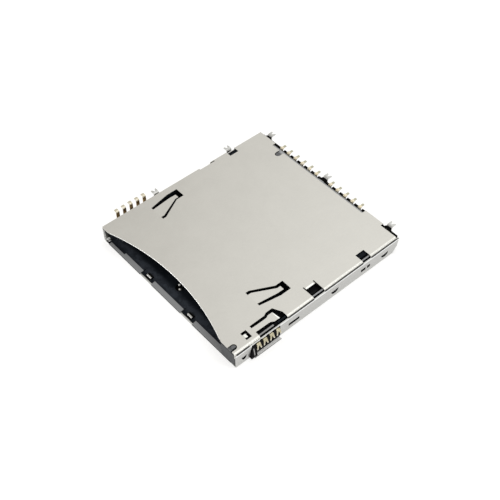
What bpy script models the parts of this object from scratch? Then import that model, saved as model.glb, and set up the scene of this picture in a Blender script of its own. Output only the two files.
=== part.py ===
"""Push-in, push-out memory card socket with a folded metal shell.

Sizes are in millimetres and become metres when a mesh is made. X runs across
the socket, +Y is the way the card goes in and +Z points at the circuit board,
which lies on the cover side: the leads and solder forks all end level with the
cover. The origin is the centre of the body's footprint on its lower face.
"""

import math

import bmesh
import bpy
from mathutils import Matrix, Vector

MM = 0.001

# Card that the socket takes, and its play
CARD_WIDTH = 24.0
CARD_THICKNESS = 2.1
CARD_SIDE_PLAY = 0.1
CARD_LIFT_PLAY = 0.15
CARD_SLIDER_GAP = 0.3

# Sheet metal, bends and clearances
SHELL_SHEET = 0.15
COVER_SHEET = 0.15
CONTACT_SHEET = 0.15
OUTER_BEND = 0.3
BEND_STEPS = 4
WALL_DROP = 0.3
FLANGE_DEPTH = 1.0
FIT = 0.05
SIDE_GAP = 0.27
PAST = 1.0
LAP = 0.3
ROUND_SIDES = 20

# Moulded housing
BODY_DEPTH = 29.0
HOUSING_FLOOR = 0.175
LEFT_WALL = 0.53
RIGHT_WALL = 0.58
REAR_WALL = 0.8
LEDGE_SINK = 0.75
LEDGE_SHORT = 3.2
WALL_RAIL_WIDTH = 0.25
WALL_RAIL_GAP = 0.15
COMB_DEPTH = 0.75
COMB_SINK = 0.45
PANEL_SINK = 0.13
PANEL_SKIN = 0.13
RAMP_DEPTH = 0.75
RAMP_RISE = 0.15
CORNER_CUT = 0.75
FLOOR_SKIN = 0.06

# Card mouth, clips and floor hole, across from the card's centre line
MOUTH_OFF = 0.3
MOUTH_HALF_WIDTH = 12.0
MOUTH_RISE = 2.1
MOUTH_STEPS = 28
NOTCH_OFFS = (-3.55, 5.15)
NOTCH_WIDTH = 2.5
NOTCH_DEPTH = 1.0
CLIP_WIDTH = 0.9
CLIP_HEIGHT = 0.34
CLIP_RAMP = 0.1
CLIP_SETBACK = 0.3
FLOOR_HOLE_OFF = 0.75
FLOOR_HOLE_FROM_FRONT = 2.45
FLOOR_HOLE_RADIUS = 0.6
EARTH_TAB_WIDTH = 0.45
EARTH_TAB_HEIGHT = 0.55
EARTH_TAB_FROM_FRONT = 0.2

# Cover windows beside the ejector, across from its centre line
WINDOW_EDGE = 0.185
REAR_WINDOW_OFF = 0.35
REAR_WINDOW_FROM_REAR = 5.4
REAR_WINDOW_LENGTH = 1.5
LATCH_WINDOW_OFF = 0.2
LATCH_WINDOW_FROM_FRONT = 13.17
LATCH_WINDOW_LENGTH = 1.93
LATCH_SLIT_LENGTH = 0.5
LATCH_SLIT_WIDTH = 0.17

# Cover's left window and rear edge
LEFT_WINDOW_DEPTH = 1.0
LEFT_WINDOW_WIDTH = 1.5
LEFT_EDGE_RECESS = 0.25
LEFT_EDGE_SLIT = 0.15
LEFT_EDGE_FROM_FRONT = (17.04, 19.04, 19.74)
LEAD_GAP_MARGIN_LEFT = 1.36
LEAD_GAP_MARGIN_RIGHT = 1.06
LEAD_GAP_DEPTH = 0.72
REAR_LEFT_SHORT = 0.13
REAR_NOTCH_OFF = 0.25
REAR_NOTCH_DEPTH = 0.5

# Locating bosses in half round notches of the cover
FRONT_BOSS_OFF = 0.8
FRONT_BOSS_FROM_FRONT = 0.62
REAR_BOSS_OFF = 0.58
REAR_BOSS_FROM_REAR = 1.45
BOSS_RADIUS = 0.33
BOSS_CLEARANCE = 0.1
BOSS_SHORT_OF_TOP = 0.06

# Card tongues of the cover, measured in from the card's edge
TONGUE_FROM_FRONT = 7.15
TONGUE_LENGTH = 4.2
TONGUE_ROOT_IN = 3.02
TONGUE_ROOT_OUT = 1.02
TONGUE_TIP_IN = 1.54
TONGUE_TIP_OUT = 0.64
TONGUE_SLOT = 0.34
TONGUE_TIP_SLOT = 0.68
TONGUE_OUTER_SLOT = 0.57
TONGUE_TRIM = 0.1
TONGUE_OUTER_TRIM = 0.05
TONGUE_DROP = 0.18

# Spring tongue over the cam pin, across from the pin
PRESS_FROM_FRONT = 4.1
PRESS_LENGTH = 3.8
PRESS_NECK_OFF = 0.13
PRESS_NECK_WIDTH = 0.77
PRESS_HEAD_OFF = -0.1
PRESS_HEAD_WIDTH = 1.27
PRESS_HEAD_LENGTH = 0.9
PRESS_SLOT = 0.4
PRESS_DROP = 0.16

# Lanced tab over the cam pin's pivot end
HOLD_FROM_FRONT = 2.5
HOLD_LENGTH = 0.53
HOLD_OFF = 0.45
HOLD_WIDTH = 0.55
HOLD_SLOT = 0.345
HOLD_DROP = 0.12

# Rear contacts, placed from the card's centre line and the rear wall
CONTACT_BEND = 0.2
LEAD_PITCH = 1.4525
LEAD_ROW_OFF = 8.29
LEAD_PLACES = 12
FORK_PLACE = 6
LEAD_WIDTH = 0.5
FOOT_WIDTH = 0.42
LEAD_SHOULDER = 0.32
LEAD_TIP_WIDTH = 0.3
LEAD_RISER_BACK = 0.32
LEAD_REACH = 0.68
BEAM_WIDTH = 0.7
TIP_WIDTH = 0.49
JOG_START_SHORT = 0.3
JOG_END_SHORT = 3.5
BUMP_SHORT = 5.8
BUMP_HEIGHT = 0.6
TIP_LENGTH = 0.7
PANEL_MARGIN = 0.75
CARD_PADS = (-9.4, -7.7, -5.2, -2.7, -0.2, 2.3, 4.8, 7.3, 9.55)
DETECT_RISE = 0.825
DETECT_TIP_RISE = 0.5
DETECT_REACH = 1.6

# Side contacts
SIDE_LEADS = 5
SIDE_PITCH = 1.1375
SIDE_FROM_FRONT = 3.28
SIDE_LEAD_WIDTH = 0.5
SIDE_RISER = 0.95
SIDE_REACH = 1.45
SIDE_STRAIGHT = 1.2
SIDE_BUMP_IN = 3.85
SIDE_BUMP_HEIGHT = 0.48

# Solder forks
FORK_WIDTH = 0.86
FORK_NOTCH = 0.5
REAR_FORK_LEFT_IN = 1.53
REAR_FORK_RIGHT_IN = 2.28
REAR_FORK_RISER_BACK = 0.42
REAR_FORK_REACH = 1.2
FORK_BLOCK_WIDTH = 0.85
FORK_BLOCK_SHIFT = 0.1
LEFT_FORKS_FROM_FRONT = (22.9, 9.5)
LEFT_FORK_REACH = 1.0
LEFT_FORK_STEP = 0.35
FORK_BEND = 0.25

# Shell's side walls: lances are (distance from the front, width)
LANCES = ((1.3, 0.8), (16.85, 1.35), (26.2, 1.35))
LEFT_LANCES = (LANCES[0], LANCES[2])
LANCE_SINK = 1.0
LANCE_HEIGHT = 0.7
LANCE_LEAN = 20.0
LANCE_STEPS = 10
WALL_SLOTS_FROM_FRONT = ((8.8, 10.55), (21.75, 22.55), (22.85, 23.35))
WALL_SLOT_SINK = 1.45
WALL_SLOT_HEIGHT = 0.27
LEFT_GAP_FROM_FRONT = (17.05, 19.05)
LEFT_GAP_SHARE = 0.5
REAR_CORNER_LENGTH = 1.2
REAR_CORNER_HEIGHT = 1.2
REAR_CORNER_LEAN = 0.25
FLOOR_STUD_RADIUS = 0.15
FLOOR_STUD_HEIGHT = 0.3
FLOOR_STUD_STEP = (0.32, 0.21)

# Switch block in the right wall
BLOCK_FROM_FRONT = 2.65
BLOCK_FOOT = 0.45
BLOCK_SINK = 0.45
BLOCK_REACH = 0.38
BLOCK_RECESS = 0.55
BLOCK_FRONT_CHEEK = 0.5
BLOCK_REAR_MARGIN = 0.1
SILL_REACH = 0.42
SILL_SHORT = 0.1
SWITCHES = 4
SWITCH_PITCH = 1.08
SWITCH_FROM_FRONT = 3.55
SWITCH_WIDTH = 0.56
SWITCH_LEG_WIDTH = 0.8
SWITCH_HEAD_SINK = 0.25
SWITCH_ROOT = 0.35
SWITCH_HEAD_REACH = 0.12
SWITCH_LEG_REACH = 0.28
SWITCH_LEG_LENGTH = 0.85
SWITCH_FORK_HALF = 0.26
SWITCH_FORK_LENGTH = 0.62
RIB_WIDTH = 0.22
RIB_HEIGHT = 0.8
RIB_REACH = 0.25

# Ejector
SLIDER_WIDTH = 1.8
SLIDER_FROM_FRONT = 3.3
SLIDER_BODY_LENGTH = 12.7
SLIDER_LIFT = 0.05
RAIL_HEIGHT = 0.45
RAIL_STOP_GAP = 0.5
NOSE_REACH = 1.95
NOSE_LENGTH = 1.2
NOSE_HEIGHT = 1.35
NOSE_BEVEL = 0.8
EJECT_STROKE = 3.6
REST_BLOCK_GAP = 0.4

PIN_RADIUS = 0.15
PIN_FROM_FRONT = 2.2
PIN_LENGTH = 5.4
PIN_SWING_X = 0.45
PIN_LEG = 0.55
PIN_BEND = 0.22
PIN_RUNNING = 0.05
PIN_UNDER_TONGUE = 0.07
CAM_DEPTH = 0.52
HEART_TAIL = 1.6
HEART_LENGTH = 1.6
HEART_CLEFT = 0.35
HEART_HALF_WIDTH = 0.18

SPRING_MEAN_RADIUS = 0.6
SPRING_WIRE_RADIUS = 0.09
SPRING_TURNS = 9
SPRING_LENGTH = 5.9
SPRING_STEPS = 14
SPRING_SIDES = 6
SEAT_PEG_RADIUS = 0.38
SEAT_PEG_LENGTH = 0.6
SPRING_BLOCK_DEPTH = 2.1

# Heights worked out from the sizes above
HOUSING_BOTTOM = SHELL_SHEET + FIT / 2
FLOOR_TOP = HOUSING_BOTTOM + HOUSING_FLOOR
COVER_UNDER = FLOOR_TOP + CARD_THICKNESS + CARD_LIFT_PLAY
BODY_HEIGHT = COVER_UNDER + COVER_SHEET
HOUSING_TOP = COVER_UNDER - FIT
WALL_TOP = BODY_HEIGHT - WALL_DROP
LEDGE_TOP = HOUSING_TOP - LEDGE_SINK
COMB_TOP = BODY_HEIGHT - COMB_SINK
BLOCK_TOP = BODY_HEIGHT - BLOCK_SINK
SWITCH_HEAD_Z = BLOCK_TOP - SWITCH_HEAD_SINK
LANCE_Z = WALL_TOP - LANCE_SINK
WALL_SLOT_Z = WALL_TOP - WALL_SLOT_SINK
STRIP_Z = HOUSING_BOTTOM + FIT / 2 + CONTACT_SHEET / 2
DETECT_LEAD_Z = STRIP_Z + DETECT_RISE
PIN_Z = COVER_UNDER - PRESS_DROP - PIN_UNDER_TONGUE - PIN_RADIUS
SLIDER_TOP = PIN_Z - PIN_RADIUS - PIN_RUNNING
SLIDER_BOTTOM = FLOOR_TOP + SLIDER_LIFT
RAIL_TOP = SLIDER_BOTTOM + RAIL_HEIGHT
SPRING_Z = RAIL_TOP + FIT + SPRING_WIRE_RADIUS + SPRING_MEAN_RADIUS
SPRING_BLOCK_BOTTOM = RAIL_TOP + 3 * FIT

# Places across the socket
SLOT_WIDTH = CARD_SIDE_PLAY + CARD_WIDTH + CARD_SLIDER_GAP + SLIDER_WIDTH + FIT
BODY_WIDTH = 2 * (SHELL_SHEET + SIDE_GAP) + LEFT_WALL + SLOT_WIDTH + RIGHT_WALL
HALF_WIDTH = BODY_WIDTH / 2
HOUSING_HALF = HALF_WIDTH - SHELL_SHEET - SIDE_GAP
COVER_FLANGE_X = HALF_WIDTH - SHELL_SHEET - FIT / 2
WINDOW_RIGHT = COVER_FLANGE_X - WINDOW_EDGE
SLOT_LEFT = -HOUSING_HALF + LEFT_WALL
CARD_LEFT = SLOT_LEFT + CARD_SIDE_PLAY
CARD_CENTRE_X = CARD_LEFT + CARD_WIDTH / 2
SLIDER_LEFT = CARD_LEFT + CARD_WIDTH + CARD_SLIDER_GAP
SLIDER_X = SLIDER_LEFT + SLIDER_WIDTH / 2
CHANNEL_RIGHT = SLIDER_LEFT + SLIDER_WIDTH + FIT
NOSE_LEFT = SLIDER_LEFT - NOSE_REACH
FIRST_LEAD_X = CARD_CENTRE_X - LEAD_ROW_OFF
LEAD_GAP_LEFT = FIRST_LEAD_X - LEAD_GAP_MARGIN_LEFT
LEAD_GAP_RIGHT = FIRST_LEAD_X + LEAD_PITCH * (LEAD_PLACES - 1) + LEAD_GAP_MARGIN_RIGHT
COVER_LEFT = -HALF_WIDTH + FIT
NOTCH_CENTRES = tuple(CARD_CENTRE_X + off for off in NOTCH_OFFS)
REAR_FORK_XS = (
    -HALF_WIDTH + REAR_FORK_LEFT_IN,
    FIRST_LEAD_X + LEAD_PITCH * FORK_PLACE,
    HALF_WIDTH - REAR_FORK_RIGHT_IN,
)
RAIL_X = HOUSING_HALF - WALL_RAIL_WIDTH / 2
FRONT_BOSS_X = SLIDER_X + FRONT_BOSS_OFF
REAR_BOSS_X = FIRST_LEAD_X + REAR_BOSS_OFF
HOLD_CENTRE_X = SLIDER_X + HOLD_OFF
PRESS_NECK_LEFT = SLIDER_X + PRESS_NECK_OFF
PRESS_NECK_RIGHT = PRESS_NECK_LEFT + PRESS_NECK_WIDTH
PRESS_HEAD_LEFT = SLIDER_X + PRESS_HEAD_OFF
PRESS_HEAD_RIGHT = PRESS_HEAD_LEFT + PRESS_HEAD_WIDTH
SIDE_BUMP_X = SLOT_LEFT + SIDE_BUMP_IN

# Places along the socket
FRONT_Y = -BODY_DEPTH / 2
REAR_Y = BODY_DEPTH / 2
COMB_Y = REAR_Y - LAP - FIT * 4
REAR_WALL_Y = COMB_Y - REAR_WALL
COMB_REAR_Y = COMB_Y + COMB_DEPTH
SHELL_REAR_Y = COMB_Y + COMB_DEPTH / 2
LEAD_RISER_Y = COMB_Y + LEAD_RISER_BACK
REAR_FORK_RISER_Y = REAR_Y + REAR_FORK_RISER_BACK
REAR_BOSS_Y = REAR_Y - REAR_BOSS_FROM_REAR
JOG_START_Y = REAR_WALL_Y - JOG_START_SHORT
JOG_END_Y = REAR_WALL_Y - JOG_END_SHORT
BUMP_Y = REAR_WALL_Y - BUMP_SHORT
SIDE_FIRST_Y = FRONT_Y + SIDE_FROM_FRONT
LEFT_FORK_YS = tuple(FRONT_Y + off for off in LEFT_FORKS_FROM_FRONT)
TONGUE_ROOT_Y = FRONT_Y + TONGUE_FROM_FRONT
PRESS_ROOT_Y = FRONT_Y + PRESS_FROM_FRONT
HOLD_ROOT_Y = FRONT_Y + HOLD_FROM_FRONT
BLOCK_FRONT_Y = FRONT_Y + BLOCK_FROM_FRONT
SWITCH_FIRST_Y = FRONT_Y + SWITCH_FROM_FRONT
SWITCH_LAST_Y = SWITCH_FIRST_Y + SWITCH_PITCH * (SWITCHES - 1)
BLOCK_REAR_Y = SWITCH_LAST_Y + SWITCH_WIDTH / 2 + BLOCK_REAR_MARGIN + FIT
SLIDER_FRONT_Y = FRONT_Y + SLIDER_FROM_FRONT
SLIDER_REAR_Y = SLIDER_FRONT_Y + SLIDER_BODY_LENGTH
CORNER_BLOCK_REAR_Y = SLIDER_FRONT_Y - REST_BLOCK_GAP
RAIL_END_Y = REAR_WALL_Y - EJECT_STROKE - RAIL_STOP_GAP
PIN_PIVOT_Y = FRONT_Y + PIN_FROM_FRONT
PIN_TIP_Y = PIN_PIVOT_Y + PIN_LENGTH
SPRING_FIXED_Y = SLIDER_REAR_Y + FIT + SPRING_LENGTH + FIT

STAINLESS = ("stainless_cover", (0.60, 0.59, 0.55), 0.36, 1.0)
SHELL_METAL = ("stainless_shell", (0.56, 0.56, 0.54), 0.34, 1.0)
MOULDING = ("housing_resin", (0.055, 0.055, 0.06), 0.5, 0.0)
BLOCK_RESIN = ("block_resin", (0.02, 0.02, 0.021), 0.45, 0.0)
SLIDER_RESIN = ("slider_resin", (0.03, 0.03, 0.032), 0.4, 0.0)
GOLD_PLATE = ("gold_plate", (0.75, 0.62, 0.36), 0.3, 1.0)
SPRING_STEEL = ("spring_steel", (0.5, 0.5, 0.5), 0.25, 1.0)


def clear_scene():
    """Remove what the file opened with."""
    for old in list(bpy.data.objects):
        bpy.data.objects.remove(old, do_unlink=True)


def material(finish):
    """The Principled material of one finish, made once."""
    name, colour, roughness, metallic = finish
    made = bpy.data.materials.get(name)
    if made:
        return made
    made = bpy.data.materials.new(name)
    made.use_nodes = True
    shader = made.node_tree.nodes["Principled BSDF"]
    shader.inputs["Base Color"].default_value = (*colour, 1.0)
    shader.inputs["Roughness"].default_value = roughness
    shader.inputs["Metallic"].default_value = metallic
    return made


def add_object(name, mesh, finish):
    """Link one mesh to the scene as a named object."""
    made = bpy.data.objects.new(name, mesh)
    bpy.context.collection.objects.link(made)
    if finish:
        mesh.materials.append(material(finish))
    return made


def place(axis, point, level):
    """A point of an outline drawn square to one axis."""
    first, second = point
    return {
        "X": Vector((level, first, second)),
        "Y": Vector((first, level, second)),
        "Z": Vector((first, second, level)),
    }[axis] * MM


def add_prism(shape, axis, outline, low, high):
    """Extrude an outline between two levels of an axis into the bmesh."""
    corners = [shape.verts.new(place(axis, point, low)) for point in outline]
    base = shape.faces.new(corners)
    grown = bmesh.ops.extrude_face_region(shape, geom=[base])
    moved = [item for item in grown["geom"] if isinstance(item, bmesh.types.BMVert)]
    step = place(axis, (0.0, 0.0), high) - place(axis, (0.0, 0.0), low)
    bmesh.ops.translate(shape, verts=moved, vec=step)


def mesh_of(name, shape):
    """Turn a bmesh into a mesh whose faces point outwards."""
    bmesh.ops.recalc_face_normals(shape, faces=shape.faces[:])
    mesh = bpy.data.meshes.new(name)
    shape.to_mesh(mesh)
    shape.free()
    return mesh


def prisms(name, parts, finish=None):
    """One object of several prisms, each (axis, outline, low, high)."""
    shape = bmesh.new()
    for axis, outline, low, high in parts:
        add_prism(shape, axis, outline, low, high)
    return add_object(name, mesh_of(name, shape), finish)


def hide_tool(tool):
    """Keep a cutter out of the model."""
    tool.hide_render = True
    tool.display_type = "WIRE"


def combine(target, tool, operation):
    """Add one live Boolean to an object."""
    hide_tool(tool)
    step = target.modifiers.new(tool.name, "BOOLEAN")
    step.operation = operation
    step.object = tool
    step.solver = "EXACT"


def cut(target, name, parts):
    """Cut prisms that don't touch each other out of an object."""
    combine(target, prisms(name, parts), "DIFFERENCE")


def weld(target, name, parts):
    """Join prisms that don't touch each other to an object."""
    combine(target, prisms(name, parts), "UNION")


def rectangle(low_a, high_a, low_b, high_b):
    """A rectangle's corners in order."""
    return [(low_a, low_b), (high_a, low_b), (high_a, high_b), (low_a, high_b)]


def arc(centre, radius, start, end, steps):
    """Points on an arc, angles in degrees, both ends included."""
    points = []
    for step in range(steps + 1):
        angle = math.radians(start + (end - start) * step / steps)
        points.append(
            (centre[0] + radius * math.cos(angle), centre[1] + radius * math.sin(angle))
        )
    return points


def circle(centre, radius, sides=ROUND_SIDES):
    """Points round a full circle."""
    return arc(centre, radius, 0.0, 360.0 - 360.0 / sides, sides - 1)


def rounded_path(corners, radius, steps=BEND_STEPS):
    """Replace a path's inner corners by arcs.

    Each corner holds two plane coordinates and any number of further values,
    which follow the path in proportion.
    """
    path = [corners[0]]
    for before, corner, after in zip(corners, corners[1:], corners[2:]):
        arm_in = Vector(corner[:2]) - Vector(before[:2])
        arm_out = Vector(after[:2]) - Vector(corner[:2])
        turn = arm_in.angle(arm_out)
        reach = radius * math.tan(turn / 2)
        reach = min(reach, arm_in.length * 0.45, arm_out.length * 0.45)
        if reach < 1e-4:
            path.append(corner)
            continue
        start = blend(corner, before, reach / arm_in.length)
        end = blend(corner, after, reach / arm_out.length)
        for step in range(steps + 1):
            share = step / steps
            first = blend(start, corner, share)
            second = blend(corner, end, share)
            path.append(blend(first, second, share))
    path.append(corners[-1])
    return path


def blend(a, b, share):
    """A point part of the way from one to another."""
    return tuple(u + (v - u) * share for u, v in zip(a, b))


def sheet_section(path, thickness):
    """The closed outline of a sheet of constant thickness along a path."""
    left, right = [], []
    for index, point in enumerate(path):
        before = path[max(index - 1, 0)]
        after = path[min(index + 1, len(path) - 1)]
        into = (Vector(point[:2]) - Vector(before[:2])).normalized()
        out = (Vector(after[:2]) - Vector(point[:2])).normalized()
        along = (into + out).normalized()
        square = Vector((-along.y, along.x))
        flat = into if into.length else out
        stretch = 1.0 / max(square.dot(Vector((-flat.y, flat.x))), 0.5)
        offset = square * (thickness / 2 * stretch)
        centre = Vector(point[:2])
        left.append(tuple(centre + offset))
        right.append(tuple(centre - offset))
    return left, right


def strip(name, corners, along, finish):
    """A bent contact strip.

    corners are (run, z, side, width): run is the coordinate the strip follows,
    side is where its centre lies across that, and width is its width there.
    """
    path = rounded_path(corners, CONTACT_BEND)
    upper, lower = sheet_section(path, CONTACT_SHEET)
    shape = bmesh.new()
    rings = []
    for (run_a, z_a), (run_b, z_b), point in zip(upper, lower, path):
        side, half = point[2], point[3] / 2
        ring = [(run_a, z_a, side - half), (run_a, z_a, side + half)]
        ring += [(run_b, z_b, side + half), (run_b, z_b, side - half)]
        rings.append([shape.verts.new(lay(along, *corner)) for corner in ring])
    for ring, following in zip(rings, rings[1:]):
        for edge in range(4):
            near, far = edge, (edge + 1) % 4
            shape.faces.new((ring[near], ring[far], following[far], following[near]))
    shape.faces.new(rings[0])
    shape.faces.new(rings[-1])
    return add_object(name, mesh_of(name, shape), finish)


def lay(along, run, z, side):
    """Turn a strip's own coordinates into a place in metres."""
    place_of = (side, run, z) if along == "Y" else (run, side, z)
    return Vector(place_of) * MM


def folded_sheet(name, corners, sheet, front, rear, finish):
    """A sheet folded along the socket, from its end view's middle line."""
    path = rounded_path(corners, OUTER_BEND - sheet / 2)
    left, right = sheet_section(path, sheet)
    return prisms(name, [("Y", left + right[::-1], front, rear)], finish)


def drooping_tongue(name, outline, drop):
    """A tongue of the cover that slopes down from its root line.

    The outline's first and last points are the two ends of the root line. A
    short flat tail in front of the root lies inside the plate and joins them.
    """
    skin = COVER_SHEET / 20
    low, high = COVER_UNDER + skin, BODY_HEIGHT - skin
    root_y = outline[0][1]
    length = max(y for x, y in outline) - root_y
    tail_y = root_y - 2 * COVER_SHEET
    loop = [(outline[0][0], tail_y)] + outline + [(outline[-1][0], tail_y)]
    shape = bmesh.new()
    layers = []
    for level in (low, high):
        corners = []
        for x, y in loop:
            sunk = level - drop * max(y - root_y, 0.0) / length
            corners.append(shape.verts.new(Vector((x, y, sunk)) * MM))
        layers.append(corners)
        shape.faces.new((corners[0], corners[1], corners[-2], corners[-1]))
        shape.faces.new(corners[1:-1])
    under, over = layers
    for index in range(len(loop)):
        far = (index + 1) % len(loop)
        shape.faces.new((under[index], under[far], over[far], over[index]))
    return add_object(name, mesh_of(name, shape), None)


def card_tongue_outline(side):
    """The cover's card tongue, on the left (-1) or right (1) of the card."""
    tip_y = TONGUE_ROOT_Y + TONGUE_LENGTH
    straight = TONGUE_LENGTH / 8
    edge = CARD_WIDTH / 2 + TONGUE_TRIM
    outer = CARD_WIDTH / 2 - TONGUE_OUTER_TRIM
    shape = [
        (edge - TONGUE_ROOT_IN, TONGUE_ROOT_Y),
        (edge - TONGUE_ROOT_IN, TONGUE_ROOT_Y + straight),
        (edge - TONGUE_TIP_IN + TONGUE_TRIM, tip_y - straight),
        (edge - TONGUE_TIP_IN + TONGUE_TRIM, tip_y),
        (outer - TONGUE_TIP_OUT, tip_y),
        (outer - TONGUE_TIP_OUT, tip_y - 2 * straight),
        (outer - TONGUE_ROOT_OUT, TONGUE_ROOT_Y),
    ]
    return [(CARD_CENTRE_X + side * across, y) for across, y in shape]


def card_tongue_opening(side):
    """The opening that the card tongue stands in."""
    tip_y = TONGUE_ROOT_Y + TONGUE_LENGTH
    straight = TONGUE_LENGTH / 8
    shape = [
        (CARD_WIDTH / 2 - TONGUE_ROOT_IN - TONGUE_SLOT, TONGUE_ROOT_Y),
        (CARD_WIDTH / 2 - TONGUE_ROOT_IN - TONGUE_SLOT, TONGUE_ROOT_Y + straight),
        (CARD_WIDTH / 2 - TONGUE_TIP_IN - TONGUE_SLOT / 2, tip_y - straight),
        (CARD_WIDTH / 2 - TONGUE_TIP_IN - TONGUE_SLOT / 2, tip_y + TONGUE_TIP_SLOT),
        (CARD_WIDTH / 2 - TONGUE_TIP_OUT + TONGUE_OUTER_SLOT, tip_y + TONGUE_TIP_SLOT),
        (CARD_WIDTH / 2 - TONGUE_TIP_OUT + TONGUE_OUTER_SLOT, tip_y - 2 * straight),
        (CARD_WIDTH / 2 - TONGUE_ROOT_OUT + TONGUE_SLOT, TONGUE_ROOT_Y),
    ]
    return [(CARD_CENTRE_X + side * across, y) for across, y in shape]


def press_tongue_outline():
    """The tongue over the cam pin: a neck and a wider head."""
    tip_y = PRESS_ROOT_Y + PRESS_LENGTH
    head_y = tip_y - PRESS_HEAD_LENGTH
    shoulder = (PRESS_NECK_LEFT - PRESS_HEAD_LEFT) * 2
    return [
        (PRESS_NECK_RIGHT, PRESS_ROOT_Y),
        (PRESS_NECK_RIGHT, head_y - shoulder),
        (PRESS_HEAD_RIGHT, head_y),
        (PRESS_HEAD_RIGHT, tip_y),
        (PRESS_HEAD_LEFT, tip_y - PRESS_DROP),
        (PRESS_HEAD_LEFT, head_y),
        (PRESS_NECK_LEFT, head_y - shoulder),
        (PRESS_NECK_LEFT, PRESS_ROOT_Y),
    ]


def press_opening_span():
    """Where the opening round the cam pin's tongue lies along the socket."""
    return PRESS_ROOT_Y, PRESS_ROOT_Y + PRESS_LENGTH + 2 * PRESS_SLOT


def press_tongue_opening():
    """The opening round the cam pin's tongue, out to the cover's bend."""
    tip_y = PRESS_ROOT_Y + PRESS_LENGTH
    head_y = tip_y - PRESS_HEAD_LENGTH
    shoulder = (PRESS_NECK_LEFT - PRESS_HEAD_LEFT) * 2
    return [
        (PRESS_NECK_LEFT - PRESS_SLOT, PRESS_ROOT_Y),
        (WINDOW_RIGHT, PRESS_ROOT_Y),
        (WINDOW_RIGHT, tip_y + 2 * PRESS_SLOT),
        (PRESS_HEAD_RIGHT - PRESS_SLOT, tip_y + 2 * PRESS_SLOT),
        (PRESS_HEAD_LEFT - PRESS_SLOT, tip_y + PRESS_DROP),
        (PRESS_HEAD_LEFT - PRESS_SLOT, head_y),
        (PRESS_NECK_LEFT - PRESS_SLOT, head_y - shoulder),
    ]


def half_round_notch(x, closed_y, open_y, radius):
    """A notch with a round closed end, open at one edge of the cover."""
    if closed_y > open_y:
        centre_y = closed_y - radius
        round_end = arc((x, centre_y), radius, 0.0, 180.0, 8)
    else:
        centre_y = closed_y + radius
        round_end = arc((x, centre_y), radius, 180.0, 360.0, 8)
    last, first = round_end[-1], round_end[0]
    return round_end + [(last[0], open_y), (first[0], open_y)]


def mouth_outline():
    """The arc cut out of the cover's front edge."""
    half, rise = MOUTH_HALF_WIDTH, MOUTH_RISE
    radius = (half * half + rise * rise) / (2 * rise)
    spread = math.degrees(math.asin(half / radius))
    centre = (CARD_CENTRE_X + MOUTH_OFF, FRONT_Y + rise - radius)
    curve = arc(centre, radius, 90.0 - spread, 90.0 + spread, MOUTH_STEPS)
    return curve + [(curve[-1][0], FRONT_Y - PAST), (curve[0][0], FRONT_Y - PAST)]


def build_cover():
    """Folded stainless plate with the card mouth, tongues and windows."""
    turn_z = BODY_HEIGHT - COVER_SHEET / 2
    flange_x = COVER_FLANGE_X - COVER_SHEET / 2
    corners = [
        (COVER_LEFT, turn_z),
        (flange_x, turn_z),
        (flange_x, BODY_HEIGHT - FLANGE_DEPTH),
    ]
    cover = folded_sheet("top_cover", corners, COVER_SHEET, FRONT_Y, REAR_Y, STAINLESS)
    low, high = COVER_UNDER - LAP, BODY_HEIGHT + PAST
    openings = [mouth_outline()]
    openings += [card_tongue_opening(side) for side in (-1, 1)]
    openings.append(press_tongue_opening())
    openings.append(rear_window_outline())
    openings.append(latch_window_outline())
    openings.append(hold_tab_opening())
    notch = BOSS_RADIUS + BOSS_CLEARANCE
    closed_y = FRONT_Y + FRONT_BOSS_FROM_FRONT + notch
    openings.append(half_round_notch(FRONT_BOSS_X, closed_y, FRONT_Y - PAST, notch))
    cut(cover, "cover_openings", [("Z", shape, low, high) for shape in openings])
    cut(cover, "cover_rear_cuts", [("Z", cover_rear_outline(), low, high)])
    side_low = BODY_HEIGHT - FLANGE_DEPTH - PAST
    left_window = rectangle(
        -HALF_WIDTH - PAST,
        -HALF_WIDTH + LEFT_WINDOW_DEPTH,
        *window_span(LEFT_FORK_YS[0], LEFT_WINDOW_WIDTH),
    )
    left_cuts = [left_window, left_edge_outline()]
    cut(cover, "cover_left_cuts", [("Z", shape, side_low, high) for shape in left_cuts])
    gap_x = (WINDOW_RIGHT - FIT, HALF_WIDTH + PAST)
    spans = (rear_window_span(), latch_window_span(), press_opening_span())
    gaps = [("Z", rectangle(*gap_x, *span), side_low, high) for span in spans]
    cut(cover, "cover_side_gaps", gaps)
    block_gap = rectangle(
        BLOCK_FRONT_Y - BLOCK_FOOT - FIT, BLOCK_REAR_Y + FIT, side_low, BLOCK_TOP + FIT
    )
    cut(cover, "cover_block_gap", [("X", block_gap, HOUSING_HALF, HALF_WIDTH)])
    tongues = [
        drooping_tongue(f"card_tongue_{side}", card_tongue_outline(side), TONGUE_DROP)
        for side in (-1, 1)
    ]
    tongues.append(drooping_tongue("press_tongue", press_tongue_outline(), PRESS_DROP))
    tongues.append(drooping_tongue("hold_tab", hold_tab_outline(), HOLD_DROP))
    for tongue in tongues:
        combine(cover, tongue, "UNION")
    return cover


def window_span(centre, width):
    """Low and high side of a window about its centre."""
    return centre - width / 2, centre + width / 2


def left_edge_outline():
    """A shallow recess in the cover's left edge and a slit behind it."""
    low_y, high_y, slit_y = (FRONT_Y + off for off in LEFT_EDGE_FROM_FRONT)
    recess_x = COVER_LEFT + LEFT_EDGE_RECESS
    return [
        (COVER_LEFT - PAST, low_y),
        (recess_x, low_y),
        (recess_x, slit_y),
        (recess_x - LEFT_EDGE_SLIT, slit_y),
        (recess_x - LEFT_EDGE_SLIT, high_y),
        (COVER_LEFT - PAST, high_y),
    ]


def rear_window_span():
    """Where the rear window lies along the socket."""
    high_y = REAR_Y - REAR_WINDOW_FROM_REAR
    return high_y - REAR_WINDOW_LENGTH, high_y


def latch_window_span():
    """Where the latch window lies along the socket."""
    low_y = FRONT_Y + LATCH_WINDOW_FROM_FRONT
    return low_y, low_y + LATCH_WINDOW_LENGTH


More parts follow.
